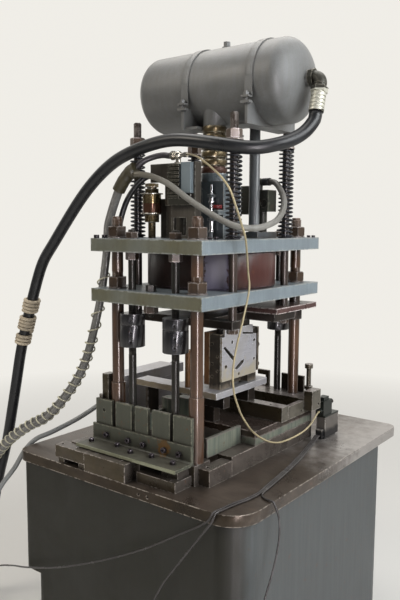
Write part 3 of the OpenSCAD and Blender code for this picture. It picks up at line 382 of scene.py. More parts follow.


# several finishes below carry painted shade on faces to the front and in corners
FINISHES = {
    "cabinet_paint": worn_paint("cabinet_paint", rgb(0.098, 0.107, 0.110), chips=0.8, dirt_and_corner_shade=0.8,
                                gloss=0.50, reach=0.003, drips=0.35, front_shade=1.5,
                                front_shade_tint=rgb(0.15, 0.13, 0.055)),
    "worn_table_steel": worn_steel("worn_table_steel", rgb(0.105, 0.075, 0.055), rgb(0.26, 0.205, 0.165),
                                   rgb(0.55, 0.50, 0.45), polish=0.22, rust=0.4,
                                   grain_scale=(9.0, 60.0, 60.0), metal=0.5, front_shade=1.0),
    "dark_steel": worn_steel("dark_steel", rgb(0.030, 0.026, 0.024), rgb(0.075, 0.055, 0.042),
                             rgb(0.26, 0.24, 0.23), polish=0.30, rust=0.5, metal=0.6),
    "rusty_steel": worn_steel("rusty_steel", rgb(0.085, 0.052, 0.036), rgb(0.165, 0.112, 0.082),
                              rgb(0.45, 0.38, 0.34), polish=0.26, rust=0.6, metal=0.5),
    "grey_green_paint": worn_paint("grey_green_paint", rgb(0.108, 0.114, 0.086), chips=0.62, dirt_and_corner_shade=1.2,
                                   gloss=0.42, rust=0.8, bare=rgb(0.34, 0.34, 0.27)),
    "black_screws": plain_finish("black_screws", rgb(0.030, 0.026, 0.030), 0.34, metal=0.6,
                                 edges=rgb(0.24, 0.21, 0.24)),
    "green_paint": worn_paint("green_paint", rgb(0.110, 0.130, 0.105), chips=1.3, dirt_and_corner_shade=1.1, gloss=0.42,
                              rust=0.8),
    "blue_grey_paint": worn_paint("blue_grey_paint", rgb(0.272, 0.325, 0.362), chips=0.7, dirt_and_corner_shade=0.8,
                                  gloss=0.36, rust=0.25, bare=rgb(0.50, 0.52, 0.50), front_shade=1.0,
                                  front_shade_tint=rgb(0.70, 0.57, 0.34)),
    "red_oxide": worn_paint("red_oxide", rgb(0.092, 0.024, 0.019), chips=0.8, dirt_and_corner_shade=0.9, gloss=0.34,
                            rust=0.5, bare=rgb(0.34, 0.25, 0.29), front_shade=1.0,
                            front_shade_tint=rgb(0.30, 0.34, 0.22)),
    "bright_steel": worn_steel("bright_steel", rgb(0.66, 0.66, 0.73), rgb(0.50, 0.48, 0.47),
                               rgb(0.86, 0.86, 0.90), polish=0.28, rust=0.35,
                               grain_scale=(60.0, 12.0, 160.0), metal=0.55, front_shade=1.0,
                               front_shade_tint=rgb(0.72, 0.60, 0.40)),
    "bronze": plain_finish("bronze", rgb(0.45, 0.30, 0.14), 0.32, metal=1.0),
    "spring_steel": plain_finish("spring_steel", rgb(0.012, 0.013, 0.018), 0.30, metal=0.3, dirt_and_corner_shade=0.3,
                                 edges=rgb(0.06, 0.06, 0.08)),
    "tank_paint": worn_paint("tank_paint", rgb(0.215, 0.220, 0.222), chips=0.35, dirt_and_corner_shade=0.5, gloss=0.40,
                             rust=0.10, reach=0.003, drips=0.30, drip_colour=rgb(0.150, 0.138, 0.118)),
    "dark_iron": plain_finish("dark_iron", rgb(0.045, 0.043, 0.034), 0.42, metal=0.4,
                              edges=rgb(0.30, 0.28, 0.23)),
    "olive_brass": worn_steel("olive_brass", rgb(0.190, 0.150, 0.080), rgb(0.100, 0.072, 0.040),
                              rgb(0.66, 0.62, 0.50), polish=0.24, rust=0.4, stain_scale=3.0, metal=0.7),
    "chrome_steel": plain_finish("chrome_steel", rgb(0.72, 0.72, 0.74), 0.16, metal=1.0, dirt_and_corner_shade=0.5),
    "red_plastic": plain_finish("red_plastic", rgb(0.32, 0.012, 0.014), 0.35, dirt_and_corner_shade=0.6),
    "black_rubber": hose_rubber("black_rubber", rgb(0.014, 0.015, 0.018), gloss=0.30, scuffs=0.35,
                                scuff_colour=rgb(0.060, 0.065, 0.070)),
    "sleeve_grey": hose_rubber("sleeve_grey", rgb(0.205, 0.202, 0.195), gloss=0.22, scuffs=0.9,
                               scuff_colour=rgb(0.52, 0.51, 0.50)),
    "grey_hose": hose_rubber("grey_hose", rgb(0.270, 0.262, 0.240), gloss=0.36, scuffs=0.3,
                             scuff_colour=rgb(0.12, 0.11, 0.09)),
    "brown_hose": hose_rubber("brown_hose", rgb(0.074, 0.063, 0.072), gloss=0.36, scuffs=0.3),
    "cream_tube": hose_rubber("cream_tube", rgb(0.50, 0.42, 0.255), gloss=0.34, scuffs=0.25,
                              scuff_colour=rgb(0.20, 0.15, 0.08)),
    "grey_cable": hose_rubber("grey_cable", rgb(0.29, 0.30, 0.30), gloss=0.36, scuffs=0.3),
    "dark_cable": hose_rubber("dark_cable", rgb(0.058, 0.052, 0.052), gloss=0.22, scuffs=0.3),
}

# pieces whose surface differs from the rest of their slot
OWN_FINISH = {
    "posts": worn_steel("oiled_post", rgb(0.075, 0.034, 0.016), rgb(0.150, 0.068, 0.030),
                        rgb(0.34, 0.26, 0.21), polish=0.30, rust=0.5, metal=0.25, edges=0.5,
                        grain_scale=(120.0, 120.0, 3.0), oiled=0.9),
    "frame_nuts": worn_steel("oiled_nut", rgb(0.060, 0.036, 0.022), rgb(0.130, 0.076, 0.044),
                             rgb(0.52, 0.46, 0.44), polish=0.28, rust=0.6, metal=0.3, oiled=0.35),
    "spring_rods": worn_steel("browned_rod", rgb(0.046, 0.032, 0.027), rgb(0.095, 0.062, 0.047),
                              rgb(0.34, 0.30, 0.28), polish=0.28, rust=0.5, metal=0.35, oiled=0.4),
    "tie_rods": worn_steel("black_rod", rgb(0.014, 0.014, 0.013), rgb(0.036, 0.032, 0.024),
                           rgb(0.20, 0.18, 0.17), polish=0.30, rust=0.3, metal=0.4, edges=0.5,
                           oiled=0.15),
    "couplings": worn_steel("blued_steel", rgb(0.022, 0.023, 0.029), rgb(0.034, 0.032, 0.035),
                            rgb(0.30, 0.29, 0.33), polish=0.28, rust=0.3, metal=0.5, edges=0.5,
                            oiled=0.6),
    "table_top": worn_steel("table_steel", rgb(0.058, 0.042, 0.033), rgb(0.150, 0.118, 0.096),
                            rgb(0.52, 0.46, 0.40), polish=0.27, rust=0.4, grain_scale=(9.0, 60.0, 60.0),
                            metal=0.5, edges=0.6, front_shade=1.0, front_shade_tint=rgb(0.34, 0.28, 0.15)),
    "base_plate": worn_steel("oiled_plate", rgb(0.050, 0.036, 0.030), rgb(0.120, 0.090, 0.076),
                             rgb(0.66, 0.56, 0.52), polish=0.15, rust=0.4, grain_scale=(9.0, 60.0, 60.0),
                             metal=0.5, dust=0.05, edges=0.8, front_shade=0.8),
    "base_runners": worn_steel("runner_steel", rgb(0.115, 0.096, 0.084), rgb(0.25, 0.215, 0.19),
                               rgb(0.66, 0.58, 0.52), polish=0.22, rust=0.6, metal=0.45, edges=0.75,
                               reach=0.0035, grain_scale=(30.0, 30.0, 30.0), front_shade=1.0,
                               front_shade_tint=rgb(0.22, 0.18, 0.10), top_colour=rgb(0.10, 0.07, 0.05)),
    "front_bars": worn_steel("bar_steel", rgb(0.100, 0.086, 0.074), rgb(0.22, 0.19, 0.17),
                             rgb(0.56, 0.50, 0.46), polish=0.24, rust=0.7, metal=0.45, edges=0.70,
                             reach=0.0035, grain_scale=(12.0, 60.0, 60.0), front_shade=1.0,
                             front_shade_tint=rgb(0.42, 0.36, 0.20), dust=0.6,
                             top_colour=rgb(0.085, 0.070, 0.060)),
    "guide_rails": worn_steel("rail_steel", rgb(0.100, 0.090, 0.070), rgb(0.21, 0.19, 0.155),
                              rgb(0.50, 0.46, 0.42), polish=0.22, rust=0.5, metal=0.4, edges=0.55,
                              grain_scale=(12.0, 60.0, 60.0), front_shade=1.0, front_shade_tint=rgb(0.36, 0.29, 0.17),
                              dust=1.0, top_colour=rgb(0.46, 0.40, 0.39)),
    "platen_shelf": worn_steel("shelf_steel", rgb(0.115, 0.060, 0.056), rgb(0.20, 0.115, 0.105),
                               rgb(0.80, 0.72, 0.70), polish=0.26, rust=0.5, metal=0.35, edges=1.2),
    "die_block": worn_steel("die_steel", rgb(0.020, 0.017, 0.014), rgb(0.095, 0.074, 0.056),
                            rgb(0.42, 0.36, 0.28), polish=0.30, rust=0.6, metal=0.4, stain_scale=3.5),
    "die_strip": worn_steel("rusty_strip", rgb(0.115, 0.050, 0.016), rgb(0.26, 0.120, 0.040),
                            rgb(0.45, 0.28, 0.14), polish=0.34, rust=0.8, metal=0.2, stain_scale=2.5),
    "valve_bracket": worn_steel("bracket_steel", rgb(0.080, 0.068, 0.055), rgb(0.150, 0.132, 0.108),
                                rgb(0.40, 0.38, 0.34), polish=0.36, rust=0.3, metal=0.25, edges=0.7),
    "limit_valve": worn_steel("valve_box", rgb(0.170, 0.155, 0.142), rgb(0.30, 0.275, 0.25),
                              rgb(0.76, 0.72, 0.66), polish=0.32, rust=0.5, metal=0.4, edges=1.2),
    "air_filter": worn_steel("filter_brass", rgb(0.26, 0.20, 0.100), rgb(0.130, 0.092, 0.048),
                             rgb(0.92, 0.88, 0.80), polish=0.15, rust=0.3, stain_scale=3.0, metal=0.85,
                             edges=1.2, reach=0.003),
    "supply_tee": plain_finish("silver_fitting", rgb(0.74, 0.70, 0.62), 0.22, metal=1.0, dirt_and_corner_shade=0.5),
    "side_valve": worn_paint("black_olive_paint", rgb(0.040, 0.042, 0.031), chips=0.8, gloss=0.36,
                             rust=0.3, bare=rgb(0.20, 0.20, 0.16)),
    "side_walls": worn_paint("wall_paint", rgb(0.150, 0.178, 0.150), chips=1.3, dirt_and_corner_shade=1.0, gloss=0.40,
                             rust=0.9, drips=0.5, drip_colour=rgb(0.40, 0.41, 0.31)),
    "stack_valve": worn_paint("valve_paint", rgb(0.135, 0.165, 0.185), chips=0.7, dirt_and_corner_shade=0.9, gloss=0.26,
                              rust=0.2, bare=rgb(0.42, 0.45, 0.46)),
    "support_pipes": worn_paint("pipe_paint", rgb(0.165, 0.175, 0.185), chips=0.6, dirt_and_corner_shade=0.7, gloss=0.16,
                                rust=0.2),
    "rope": plain_finish("old_rope", rgb(0.62, 0.53, 0.40), 0.75, variation=0.25, dirt_and_corner_shade=0.8),
    "binding": plain_finish("binding_strip", rgb(0.60, 0.57, 0.43), 0.5, variation=0.2, dirt_and_corner_shade=0.4),
    "tape": plain_finish("olive_tape", rgb(0.060, 0.050, 0.026), 0.38, variation=0.3),
}
OWN_FINISH["spring_nuts"] = OWN_FINISH["frame_nuts"]
for key in ("cabinet", "angle_bracket", "face_plate", "cylinder_barrel", "solenoid_valve", "stack_coupling",
            "tank_elbow"):
    OWN_FINISH[key] = FINISHES[SLOT_OF[key]].copy()
    OWN_FINISH[key].name = key + "_finish"


def over(key, mask, colour, metal=None, rough=None, finishes=OWN_FINISH):
    """Lays a colour over a finish where the mask, a function of its tree, is 1."""
    material = finishes[key]
    t = Tree(material.node_tree)
    inputs = material.node_tree.nodes["Principled BSDF"].inputs
    where = mask(t)
    t.put(inputs["Base Color"], t.mix(where, inputs["Base Color"].links[0].from_socket, colour))
    for socket, value in ((inputs["Metallic"], metal), (inputs["Roughness"], rough)):
        if value is not None:
            now = socket.links[0].from_socket if socket.links else socket.default_value
            kept = t.math("MULTIPLY", t.math("SUBTRACT", 1.0, where), now)
            t.put(socket, t.math("ADD", kept, t.math("MULTIPLY", where, value)))


def along_axis(t, axis, start, end, soft=0.0):
    """From 0 at start to 1 at end along an axis of the frame; soft breaks the border up."""
    value = t.add("ShaderNodeSeparateXYZ", {0: object_coords(t)}).outputs[axis]
    if soft:
        value = t.math("ADD", value, t.ramp(t.noise(object_coords(t), 22.0, 5.0, 0.7), 0.3, 0.7, -soft, soft))
    return t.ramp(value, start, end)


def stretch(t, axis, low, high):
    """1 between two places along an axis of the frame."""
    border = 0.0002
    return t.math("MULTIPLY", along_axis(t, axis, low - border, low + border),
                  along_axis(t, axis, high + border, high - border))


BEYOND = 9.0  # a place past the whole press, for a stretch with one end


def blotch(t, centre, radius, ragged=0.02, scale=30.0, flat=(1, 1, 1)):
    """1 within a ragged patch round a point; flat leaves out axes."""
    centre = Vector(centre) * Vector(flat)
    away = t.add("ShaderNodeVectorMath", {0: t.stretched(object_coords(t), flat), 1: centre},
                 operation="DISTANCE").outputs[1]
    away = t.math("ADD", away, t.ramp(t.noise(object_coords(t), scale, 6.0, 0.75), 0.3, 0.7, -ragged, ragged))
    border = 0.002
    return t.ramp(away, radius + border, radius - border)


def hose_run(t, start, end):
    """From 0 to 1 between two lengths along a hose, in metres."""
    run = t.add("ShaderNodeSeparateXYZ", {0: t.add("ShaderNodeUVMap", uv_map="along").outputs[0]}).outputs[1]
    return t.ramp(run, start, end)


def both(t, one, other):
    return t.math("MULTIPLY", one, other)


def patch_drum_and_table():
    # a lighter purple-grey patch on the drum's front: a painted highlight
    over("cylinder_barrel", lambda t: blotch(t, at(0.149, -0.175, 0), 0.038, 0.010, 60.0, flat=(1, 1, 0)),
         rgb(0.165, 0.145, 0.215), rough=0.50)
    # a pale patch towards the right of the table top: painted sheen
    over("table_top", lambda t: both(t, both(t, along_axis(t, 0, 0.20, 0.48, 0.08),
                                             along_axis(t, 1, -0.10, 0.22, 0.08)), 0.75),
         rgb(0.50, 0.47, 0.45), rough=0.30)
    over("couplings", lambda t: along_axis(t, 2, at(0, 0, 0.290).z, at(0, 0, 0.262).z, 0.012),
         rgb(0.085, 0.050, 0.030))


def patch_air_parts():
    """The valves' covers and plated ends, at heights above the top plate or their own foot."""
    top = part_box("top_plate")[1].z
    valve, elbow = (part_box(key)[0].z for key in ("limit_valve", "tank_elbow"))
    over("solenoid_valve", lambda t: both(t, stretch(t, 0, at(0.0301, 0, 0).x, BEYOND),
                                          stretch(t, 2, top + 0.141, BEYOND)),
         rgb(0.27, 0.33, 0.37), metal=0.1)
    over("stack_coupling", lambda t: stretch(t, 2, 0, top + 0.243), rgb(0.085, 0.036, 0.024), metal=0.3)
    over("air_filter", lambda t: stretch(t, 2, top + 0.0865, top + 0.118), rgb(0.115, 0.052, 0.030),
         metal=0.5)
    over("tank_elbow", lambda t: stretch(t, 2, elbow + 0.012, elbow + 0.078), rgb(0.60, 0.59, 0.51),
         metal=0.35, rough=0.34)
    over("limit_valve", lambda t: stretch(t, 2, valve + 0.086, BEYOND), rgb(0.022, 0.026, 0.022), metal=0.3)
    over("limit_valve", lambda t: along_axis(t, 2, valve + 0.045, valve + 0.030, 0.006),
         rgb(0.020, 0.020, 0.022))


def patch_die():
    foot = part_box("face_plate")[0].z
    over("face_plate", lambda t: both(t, along_axis(t, 2, foot + 0.050, foot + 0.005, 0.035), 0.8),
         rgb(0.62, 0.55, 0.40))
    over("face_plate", lambda t: blotch(t, at(0.2, 0.075, 0.45), 0.050, 0.006, 12.0),
         rgb(0.36, 0.37, 0.38), rough=0.22)
    over("die_block", lambda t: along_axis(t, 2, foot - 0.012, foot - 0.035, 0.012),
         rgb(0.26, 0.215, 0.165))


def patch_bracket_and_cabinet():
    """Rust round one screw, dust and a bare front edge on the bracket; chips near the cabinet's corner."""
    over("angle_bracket", lambda t: blotch(t, at(0.072, -0.353, 0.104), 0.026, 0.012, 60.0),
         rgb(0.150, 0.078, 0.020))
    over("angle_bracket", lambda t: t.group("top dust", Amount=1.0, Scale=11.0)[0],
         rgb(0.050, 0.046, 0.036))
    chips = ((0.432, -0.300, -0.38), (0.452, -0.286, -0.40), (0.470, -0.268, -0.33), (0.474, -0.262, -0.44))
    for chip in chips:
        over("cabinet", lambda t, spot=at(*chip): blotch(t, spot, 0.006, 0.006, 90.0),
             rgb(0.55, 0.56, 0.56))
    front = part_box("angle_bracket")[0].y
    over("angle_bracket", lambda t: stretch(t, 1, front - 1, front + 0.003), rgb(0.32, 0.33, 0.23))


def patch_grey_hose():
    """Dirty where it leaves the valve, and browned towards its other end."""
    over("grey_hose", lambda t: hose_run(t, 0.36, 0.10), rgb(0.060, 0.052, 0.044), finishes=FINISHES)
    over("grey_hose", lambda t: hose_run(t, 0.70, 0.96), rgb(0.130, 0.110, 0.072), finishes=FINISHES)


for patch in (patch_drum_and_table, patch_air_parts, patch_die, patch_bracket_and_cabinet, patch_grey_hose):
    patch()


def finish_of(node):
    """A node's own finish, or its slot's."""
    return OWN_FINISH.get(node) or FINISHES[SLOT_OF[node]]


# ---------------------------------------------------------------- stage
BACKDROP = rgb(0.87, 0.85, 0.80)


def seen_directly(t):
    """1 for rays that show the backdrop: from the camera, or by way of polished metal or glass."""
    ray = t.add("ShaderNodeLightPath").outputs
    shown = t.math("MAXIMUM", ray["Is Camera Ray"], ray["Is Glossy Ray"])
    return ray["Is Camera Ray"], t.math("MAXIMUM", shown, ray["Is Transmission Ray"])


def set_world():
    """Soft grey light from all round, and a pale backdrop behind the press."""
    world = bpy.data.worlds.new("hall")
    world.use_nodes = True
    world.node_tree.nodes.clear()
    t = Tree(world.node_tree)
    camera_ray, shown = seen_directly(t)
    soft = t.add("ShaderNodeBackground", {"Color": rgb(0.92, 0.90, 0.88), "Strength": 0.30}).outputs[0]
    toward = t.add("ShaderNodeTexCoord").outputs["Generated"]
    behind = t.add("ShaderNodeVectorMath", {0: toward, 1: (-0.25, 0.97, 0.0)},
                   operation="DOT_PRODUCT").outputs[1]
    share = t.math("MAXIMUM", camera_ray, t.ramp(behind, -0.35, 0.30, 0.16, 1.0))
    colour = t.mix(share, rgb(0, 0, 0), BACKDROP)
    backdrop = t.add("ShaderNodeBackground", {"Color": colour, "Strength": 1.0}).outputs[0]
    light = t.add("ShaderNodeMixShader", {0: shown, 1: soft, 2: backdrop}).outputs[0]
    t.add("ShaderNodeOutputWorld", {"Surface": light})
    bpy.context.scene.world = world


def set_floor():
    """A pale floor that keeps the press's shadow and fades to the backdrop's colour far out."""
    mesh = bpy.data.meshes.new("floor")
    reach = 30
    mesh.from_pydata([(-reach, -reach, 0), (reach, -reach, 0), (reach, reach, 0), (-reach, reach, 0)], [],
                     [(0, 1, 2, 3)])
    floor = add_object("floor", mesh)
    material, t, shader = new_finish("pale_floor")
    shader.inputs["Base Color"].default_value = rgb(0.80, 0.79, 0.76)
    shader.inputs["Roughness"].default_value = 0.9
    camera_ray = seen_directly(t)[0]
    away = t.add("ShaderNodeVectorMath", {0: object_coords(t)}, operation="LENGTH").outputs[1]
    fade = t.math("MULTIPLY", t.ramp(away, 1.6, 5.0), camera_ray)
    plain = t.add("ShaderNodeEmission", {"Color": BACKDROP, "Strength": 1.0}).outputs[0]
    both = t.add("ShaderNodeMixShader", {0: fade, 1: shader.outputs[0], 2: plain}).outputs[0]
    t.put(material.node_tree.nodes["Material Output"].inputs["Surface"], both)
    mesh.materials.append(material)


set_world()
set_floor()


# ---------------------------------------------------------------- mesh helpers
def between_rings(low, high, sides):
    """The faces between two rings of vertices, given by their numbers."""
    return [(low * sides + k, low * sides + (k + 1) % sides, high * sides + (k + 1) % sides, high * sides + k)
            for k in range(sides)]


def capped_rings(rings, sides):
    """The faces of a closed bar of rings, with a cap at both ends."""
    faces = [face for i in range(rings - 1) for face in between_rings(i, i + 1, sides)]
    return faces + [tuple(reversed(range(sides))), tuple((rings - 1) * sides + k for k in range(sides))]


def looped_rings(rings, sides):
    """The faces of a bored part, whose last ring joins the first."""
    return [face for i in range(rings) for face in between_rings(i, (i + 1) % rings, sides)]


def round_angles(sides):
    return [2 * math.pi * k / sides for k in range(sides)]


def new_piece(name, verts, faces, slot, body="frame", uvs=None, finish=None):
    """A smooth-shaded mesh piece that rides on a body and has a finish."""
    mesh = bpy.data.meshes.new(name)
    mesh.from_pydata([tuple(v) for v in verts], [], faces)
    if uvs:
        layer = mesh.uv_layers.new(name="along")
        for loop in mesh.loops:
            layer.data[loop.index].uv = uvs[loop.vertex_index]
    mesh.shade_smooth()
    mesh.materials.append(finish or FINISHES[slot])
    piece = add_object(name, mesh)
    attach(piece, body)
    return piece


def smooth_route(points, step):
    """A Catmull-Rom curve through the points, with a point about every step metres."""
    ends = [points[0] * 2 - points[1]] + list(points) + [points[-1] * 2 - points[-2]]
    route = []
    for a, b, c, d in zip(ends, ends[1:], ends[2:], ends[3:]):
        count = max(1, round((c - b).length / step))
        for i in range(count):
            u = i / count
            route.append(0.5 * (2 * b + (c - a) * u + (2 * a - 5 * b + 4 * c - d) * u**2
                                + (3 * b - a - 3 * c + d) * u**3))
    route.append(points[-1].copy())
    return route


def relaxed(route, reach):
    """The route with its bends evened out over a length, as a stiff hose lies; the ends stay."""
    step = route_length(route) / len(route)
    for _ in range(round(2 * (reach / step) ** 2)):
        route = (route[:3] + [(a + 2 * b + c) / 4 for a, b, c in zip(route[2:], route[3:-3], route[4:])]
                 + route[-3:])
    return route


def laid_route(points, step, radius):
    """A smooth route that stays its radius above the floor."""
    return [Vector((p.x, p.y, max(p.z, radius))) for p in smooth_route(points, step)]


def route_length(route):
    return sum((b - a).length for a, b in zip(route, route[1:]))


def carried_frames(route):
    """The direction and a sideways vector at each point, carried along so that they don't twist."""
    side = Vector((0.1, 1, 0.05))
    frames = []
    for i, point in enumerate(route):
        ahead = (route[min(i + 1, len(route) - 1)] - route[max(i - 1, 0)]).normalized()
        side = (side - ahead * side.dot(ahead)).normalized()
        frames.append((point, side, ahead.cross(side)))
    return frames


def tube_mesh(route, radius, sides):
    """Vertices, faces and UVs of a tube; radius is a function of the metres along and the angle."""
    verts, uvs = [], []
    run = 0.0
    before = route[0]
    for point, side, other in carried_frames(route):
        run += (point - before).length
        before = point
        for k, angle in enumerate(round_angles(sides)):
            verts.append(point + radius(run, angle) * (side * math.cos(angle) + other * math.sin(angle)))
            uvs.append((k / sides, run))
    return verts, capped_rings(len(route), sides), uvs


# ---------------------------------------------------------------- geometry trees
def new_geometry(name, **sockets):
    """A geometry tree on given points, with named inputs of (kind, default) and a material."""
    tree = bpy.data.node_groups.new(name, "GeometryNodeTree")
    tree.interface.new_socket("Places", in_out="INPUT", socket_type="NodeSocketGeometry")
    for socket, (kind, value) in sockets.items():
        made = tree.interface.new_socket(socket, in_out="INPUT", socket_type="NodeSocket" + kind)
        if value is not None:
            made.default_value = value
    tree.interface.new_socket("Material", in_out="INPUT", socket_type="NodeSocketMaterial")
    tree.interface.new_socket("Geometry", in_out="OUTPUT", socket_type="NodeSocketGeometry")
    t = Tree(tree)
    given, result = t.add("NodeGroupInput").outputs, t.add("NodeGroupOutput").inputs

    def end(shape):
        real = t.add("GeometryNodeRealizeInstances", {0: shape}).outputs[0]
        painted = t.add("GeometryNodeSetMaterial", {"Geometry": real, "Material": given["Material"]})
        t.put(result[0], painted.outputs[0])
    return t, given, end


def swept(t, line, radius, sides):
    """A round tube along a curve."""
    ring = t.add("GeometryNodeCurvePrimitiveCircle", {"Resolution": sides, "Radius": radius}).outputs[0]
    tube = t.add("GeometryNodeCurveToMesh", {"Curve": line, "Profile Curve": ring,
                                             "Fill Caps": True}).outputs[0]
    return t.add("GeometryNodeSetShadeSmooth", {"Geometry": tube}).outputs[0]


FLAT_TURNS = 0.6  # of a spring, at each end
STEPS_A_TURN = 18.0  # of a wound strand


def make_coil_springs():
    """A spring on each place: round wire, with end coils that lie flat."""
    t, given, end = new_geometry("coil springs", Turns=("Float", 23.0), Radius=("Float", 0.024),
                                 Wire=("Float", 0.0064), Length=("Float", 0.315))
    line = t.add("GeometryNodeCurveSpiral", {"Resolution": 20, "Rotations": given["Turns"], "Height": 1.0,
                                             "Start Radius": given["Radius"], "End Radius": given["Radius"]})
    x, y, share = t.add("ShaderNodeSeparateXYZ", {0: t.add("GeometryNodeInputPosition").outputs[0]}).outputs
    flat = t.math("DIVIDE", FLAT_TURNS, given["Turns"])
    rise = t.add("ShaderNodeMapRange", {0: share, 1: flat, 2: t.math("SUBTRACT", 1.0, flat)}).outputs[0]
    height = t.math("MULTIPLY", rise, t.math("SUBTRACT", given["Length"], given["Wire"]))
    height = t.math("ADD", height, t.math("MULTIPLY", given["Wire"], 0.5))
    place = t.add("ShaderNodeCombineXYZ", {0: x, 1: y, 2: height}).outputs[0]
    coil = t.add("GeometryNodeSetPosition", {"Geometry": line.outputs[0], "Position": place}).outputs[0]
    wire = swept(t, coil, t.math("MULTIPLY", given["Wire"], 0.5), 9)
    end(t.add("GeometryNodeInstanceOnPoints", {"Points": given["Places"], "Instance": wire}).outputs[0])


def make_set_out():
    """A copy of one shape on each place, turned about Z."""
    t, given, end = new_geometry("set out", Shape=("Object", None), Turn=("Float", 0.0))
    shape = t.add("GeometryNodeObjectInfo", {"Object": given["Shape"]}).outputs["Geometry"]
    turn = t.add("ShaderNodeCombineXYZ", {2: given["Turn"]}).outputs[0]
    end(t.add("GeometryNodeInstanceOnPoints", {"Points": given["Places"], "Instance": shape,
                                               "Rotation": turn}).outputs[0])


def make_wound_strand():
    """A strand wound round the line through the places."""
    t, given, end = new_geometry("wound strand", Pitch=("Float", 0.035), Radius=("Float", 0.021),
                                 Strand=("Float", 0.002))
    line = t.add("GeometryNodeMeshToCurve", {"Mesh": given["Places"]}).outputs[0]
    spacing = t.math("DIVIDE", given["Pitch"], STEPS_A_TURN)
    fine = t.add("GeometryNodeResampleCurve", {"Curve": line, "Length": spacing}, mode="LENGTH").outputs[0]
    turns = t.math("DIVIDE", t.add("GeometryNodeSplineParameter").outputs["Length"], given["Pitch"])
    angle = t.math("MULTIPLY", turns, 2 * math.pi)
    outward = t.add("ShaderNodeVectorRotate", {"Vector": t.add("GeometryNodeInputNormal").outputs[0],
                                               "Axis": t.add("GeometryNodeInputTangent").outputs[0],
                                               "Angle": angle}, rotation_type="AXIS_ANGLE").outputs[0]
    offset = t.add("ShaderNodeVectorMath", {0: outward, "Scale": given["Radius"]},
                   operation="SCALE").outputs[0]
    wound = t.add("GeometryNodeSetPosition", {"Geometry": fine, "Offset": offset}).outputs[0]
    end(swept(t, wound, given["Strand"], 8))


for make in (make_coil_springs, make_set_out, make_wound_strand):
    make()


def grown_mesh(tree_name, places, slot, edges=(), **values):
    """The plain mesh that a geometry tree builds on the places."""
    mesh = bpy.data.meshes.new("places")
    mesh.from_pydata([tuple(v) for v in places], list(edges), [])
    holder = add_object("builder", mesh)
    build = holder.modifiers.new("build", "NODES")
    build.node_group = bpy.data.node_groups[tree_name]
    values["Material"] = FINISHES[slot]
    for socket in build.node_group.interface.items_tree:
        if socket.in_out == "INPUT" and socket.name in values:
            build[socket.identifier] = values[socket.name]
    bpy.context.view_layer.update()
    made = bpy.data.meshes.new_from_object(holder.evaluated_get(bpy.context.evaluated_depsgraph_get()))
    holder.modifiers.remove(build)
    bpy.data.objects.remove(holder)
    return made


def grown_piece(name, meshes, slot, body="frame", finish=None):
    """One piece from built meshes, which rides on a body."""
    whole = bmesh.new()
    for mesh in meshes:
        whole.from_mesh(mesh)
    mesh = bpy.data.meshes.new(name)
    whole.to_mesh(mesh)
    whole.free()
    mesh.materials.clear()
    mesh.materials.append(finish or FINISHES[slot])
    piece = add_object(name, mesh)
    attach(piece, body)
    return piece


def copies(shape, places, slot, turn=0.0):
    """The shape, (vertices, faces), set out on the places."""
    mesh = bpy.data.meshes.new("shape")
    mesh.from_pydata([tuple(v) for v in shape[0]], [], shape[1])
    mesh.shade_smooth()
    mesh.set_sharp_from_angle(angle=math.radians(28))
    pattern = add_object("pattern", mesh)
    made = grown_mesh("set out", places, slot, Shape=pattern, Turn=math.radians(turn))
    bpy.data.objects.remove(pattern)
    return made


def along_route(route, start, end):
    """The stretch of a dense route between two distances along it."""
    run, part = 0.0, []
    for a, b in zip(route, route[1:]):
        if start <= run <= end:
            part.append(a)
        run += (b - a).length
    return part


def wound(route, start, end, slot, pitch, radius, strand):
    part = along_route(route, start, end)
    edges = [(i, i + 1) for i in range(len(part) - 1)]
    return grown_mesh("wound strand", part, slot, edges=edges, Pitch=pitch, Radius=radius, Strand=strand)


# ---------------------------------------------------------------- nuts, threads and springs
THREAD_DEPTH = 0.42  # of the pitch
RINGS_A_TURN = 6
SIGNS = [(sx, sy) for sx in (-1, 1) for sy in (-1, 1)]


def nut_shape(across, height, bore, base=0.0, sides=72, chamfer=math.radians(30)):
    """A hexagon nut with chamfered corners on both faces and a countersunk bore, standing on z = base."""
    flat = across / 2
    rim = [flat / math.cos((angle + math.pi / 6) % (math.pi / 3) - math.pi / 6)
           for angle in round_angles(sides)]
    face_edge = flat * 0.97
    cut = [max(0.0, (r - face_edge) * math.tan(chamfer)) for r in rim]
    lip = min(0.0012, (flat - bore / 2) * 0.3)

    def even(radius, level):
        return [radius] * sides, [level] * sides

    levels = [even(bore / 2, lip), even(bore / 2 + lip, 0.0), even(face_edge, 0.0), (rim, cut),
              (rim, [height - c for c in cut]), even(face_edge, height), even(bore / 2 + lip, height),
              even(bore / 2, height - lip)]
    verts = [(r[k] * math.cos(angle), r[k] * math.sin(angle), base + z[k])
             for r, z in levels for k, angle in enumerate(round_angles(sides))]
    return verts, [tuple(reversed(face)) for face in looped_rings(len(levels), sides)]


def washer_shape(outside, height, bore, sides=48):
    """A flat washer with softened rims, standing on z = 0."""
    soft = 0.0008
    profile = [(bore / 2, 0.0), (outside / 2 - soft, 0.0), (outside / 2, soft),
               (outside / 2, height - soft), (outside / 2 - soft, height), (bore / 2, height)]
    verts = [(r * math.cos(angle), r * math.sin(angle), z)
             for r, z in profile for angle in round_angles(sides)]
    return verts, looped_rings(len(profile), sides)


def corners(x, y, z):
    """The four places that lie alike round the press's middle."""
    return [at(sx * x, sy * y, z) for sx, sy in SIGNS]


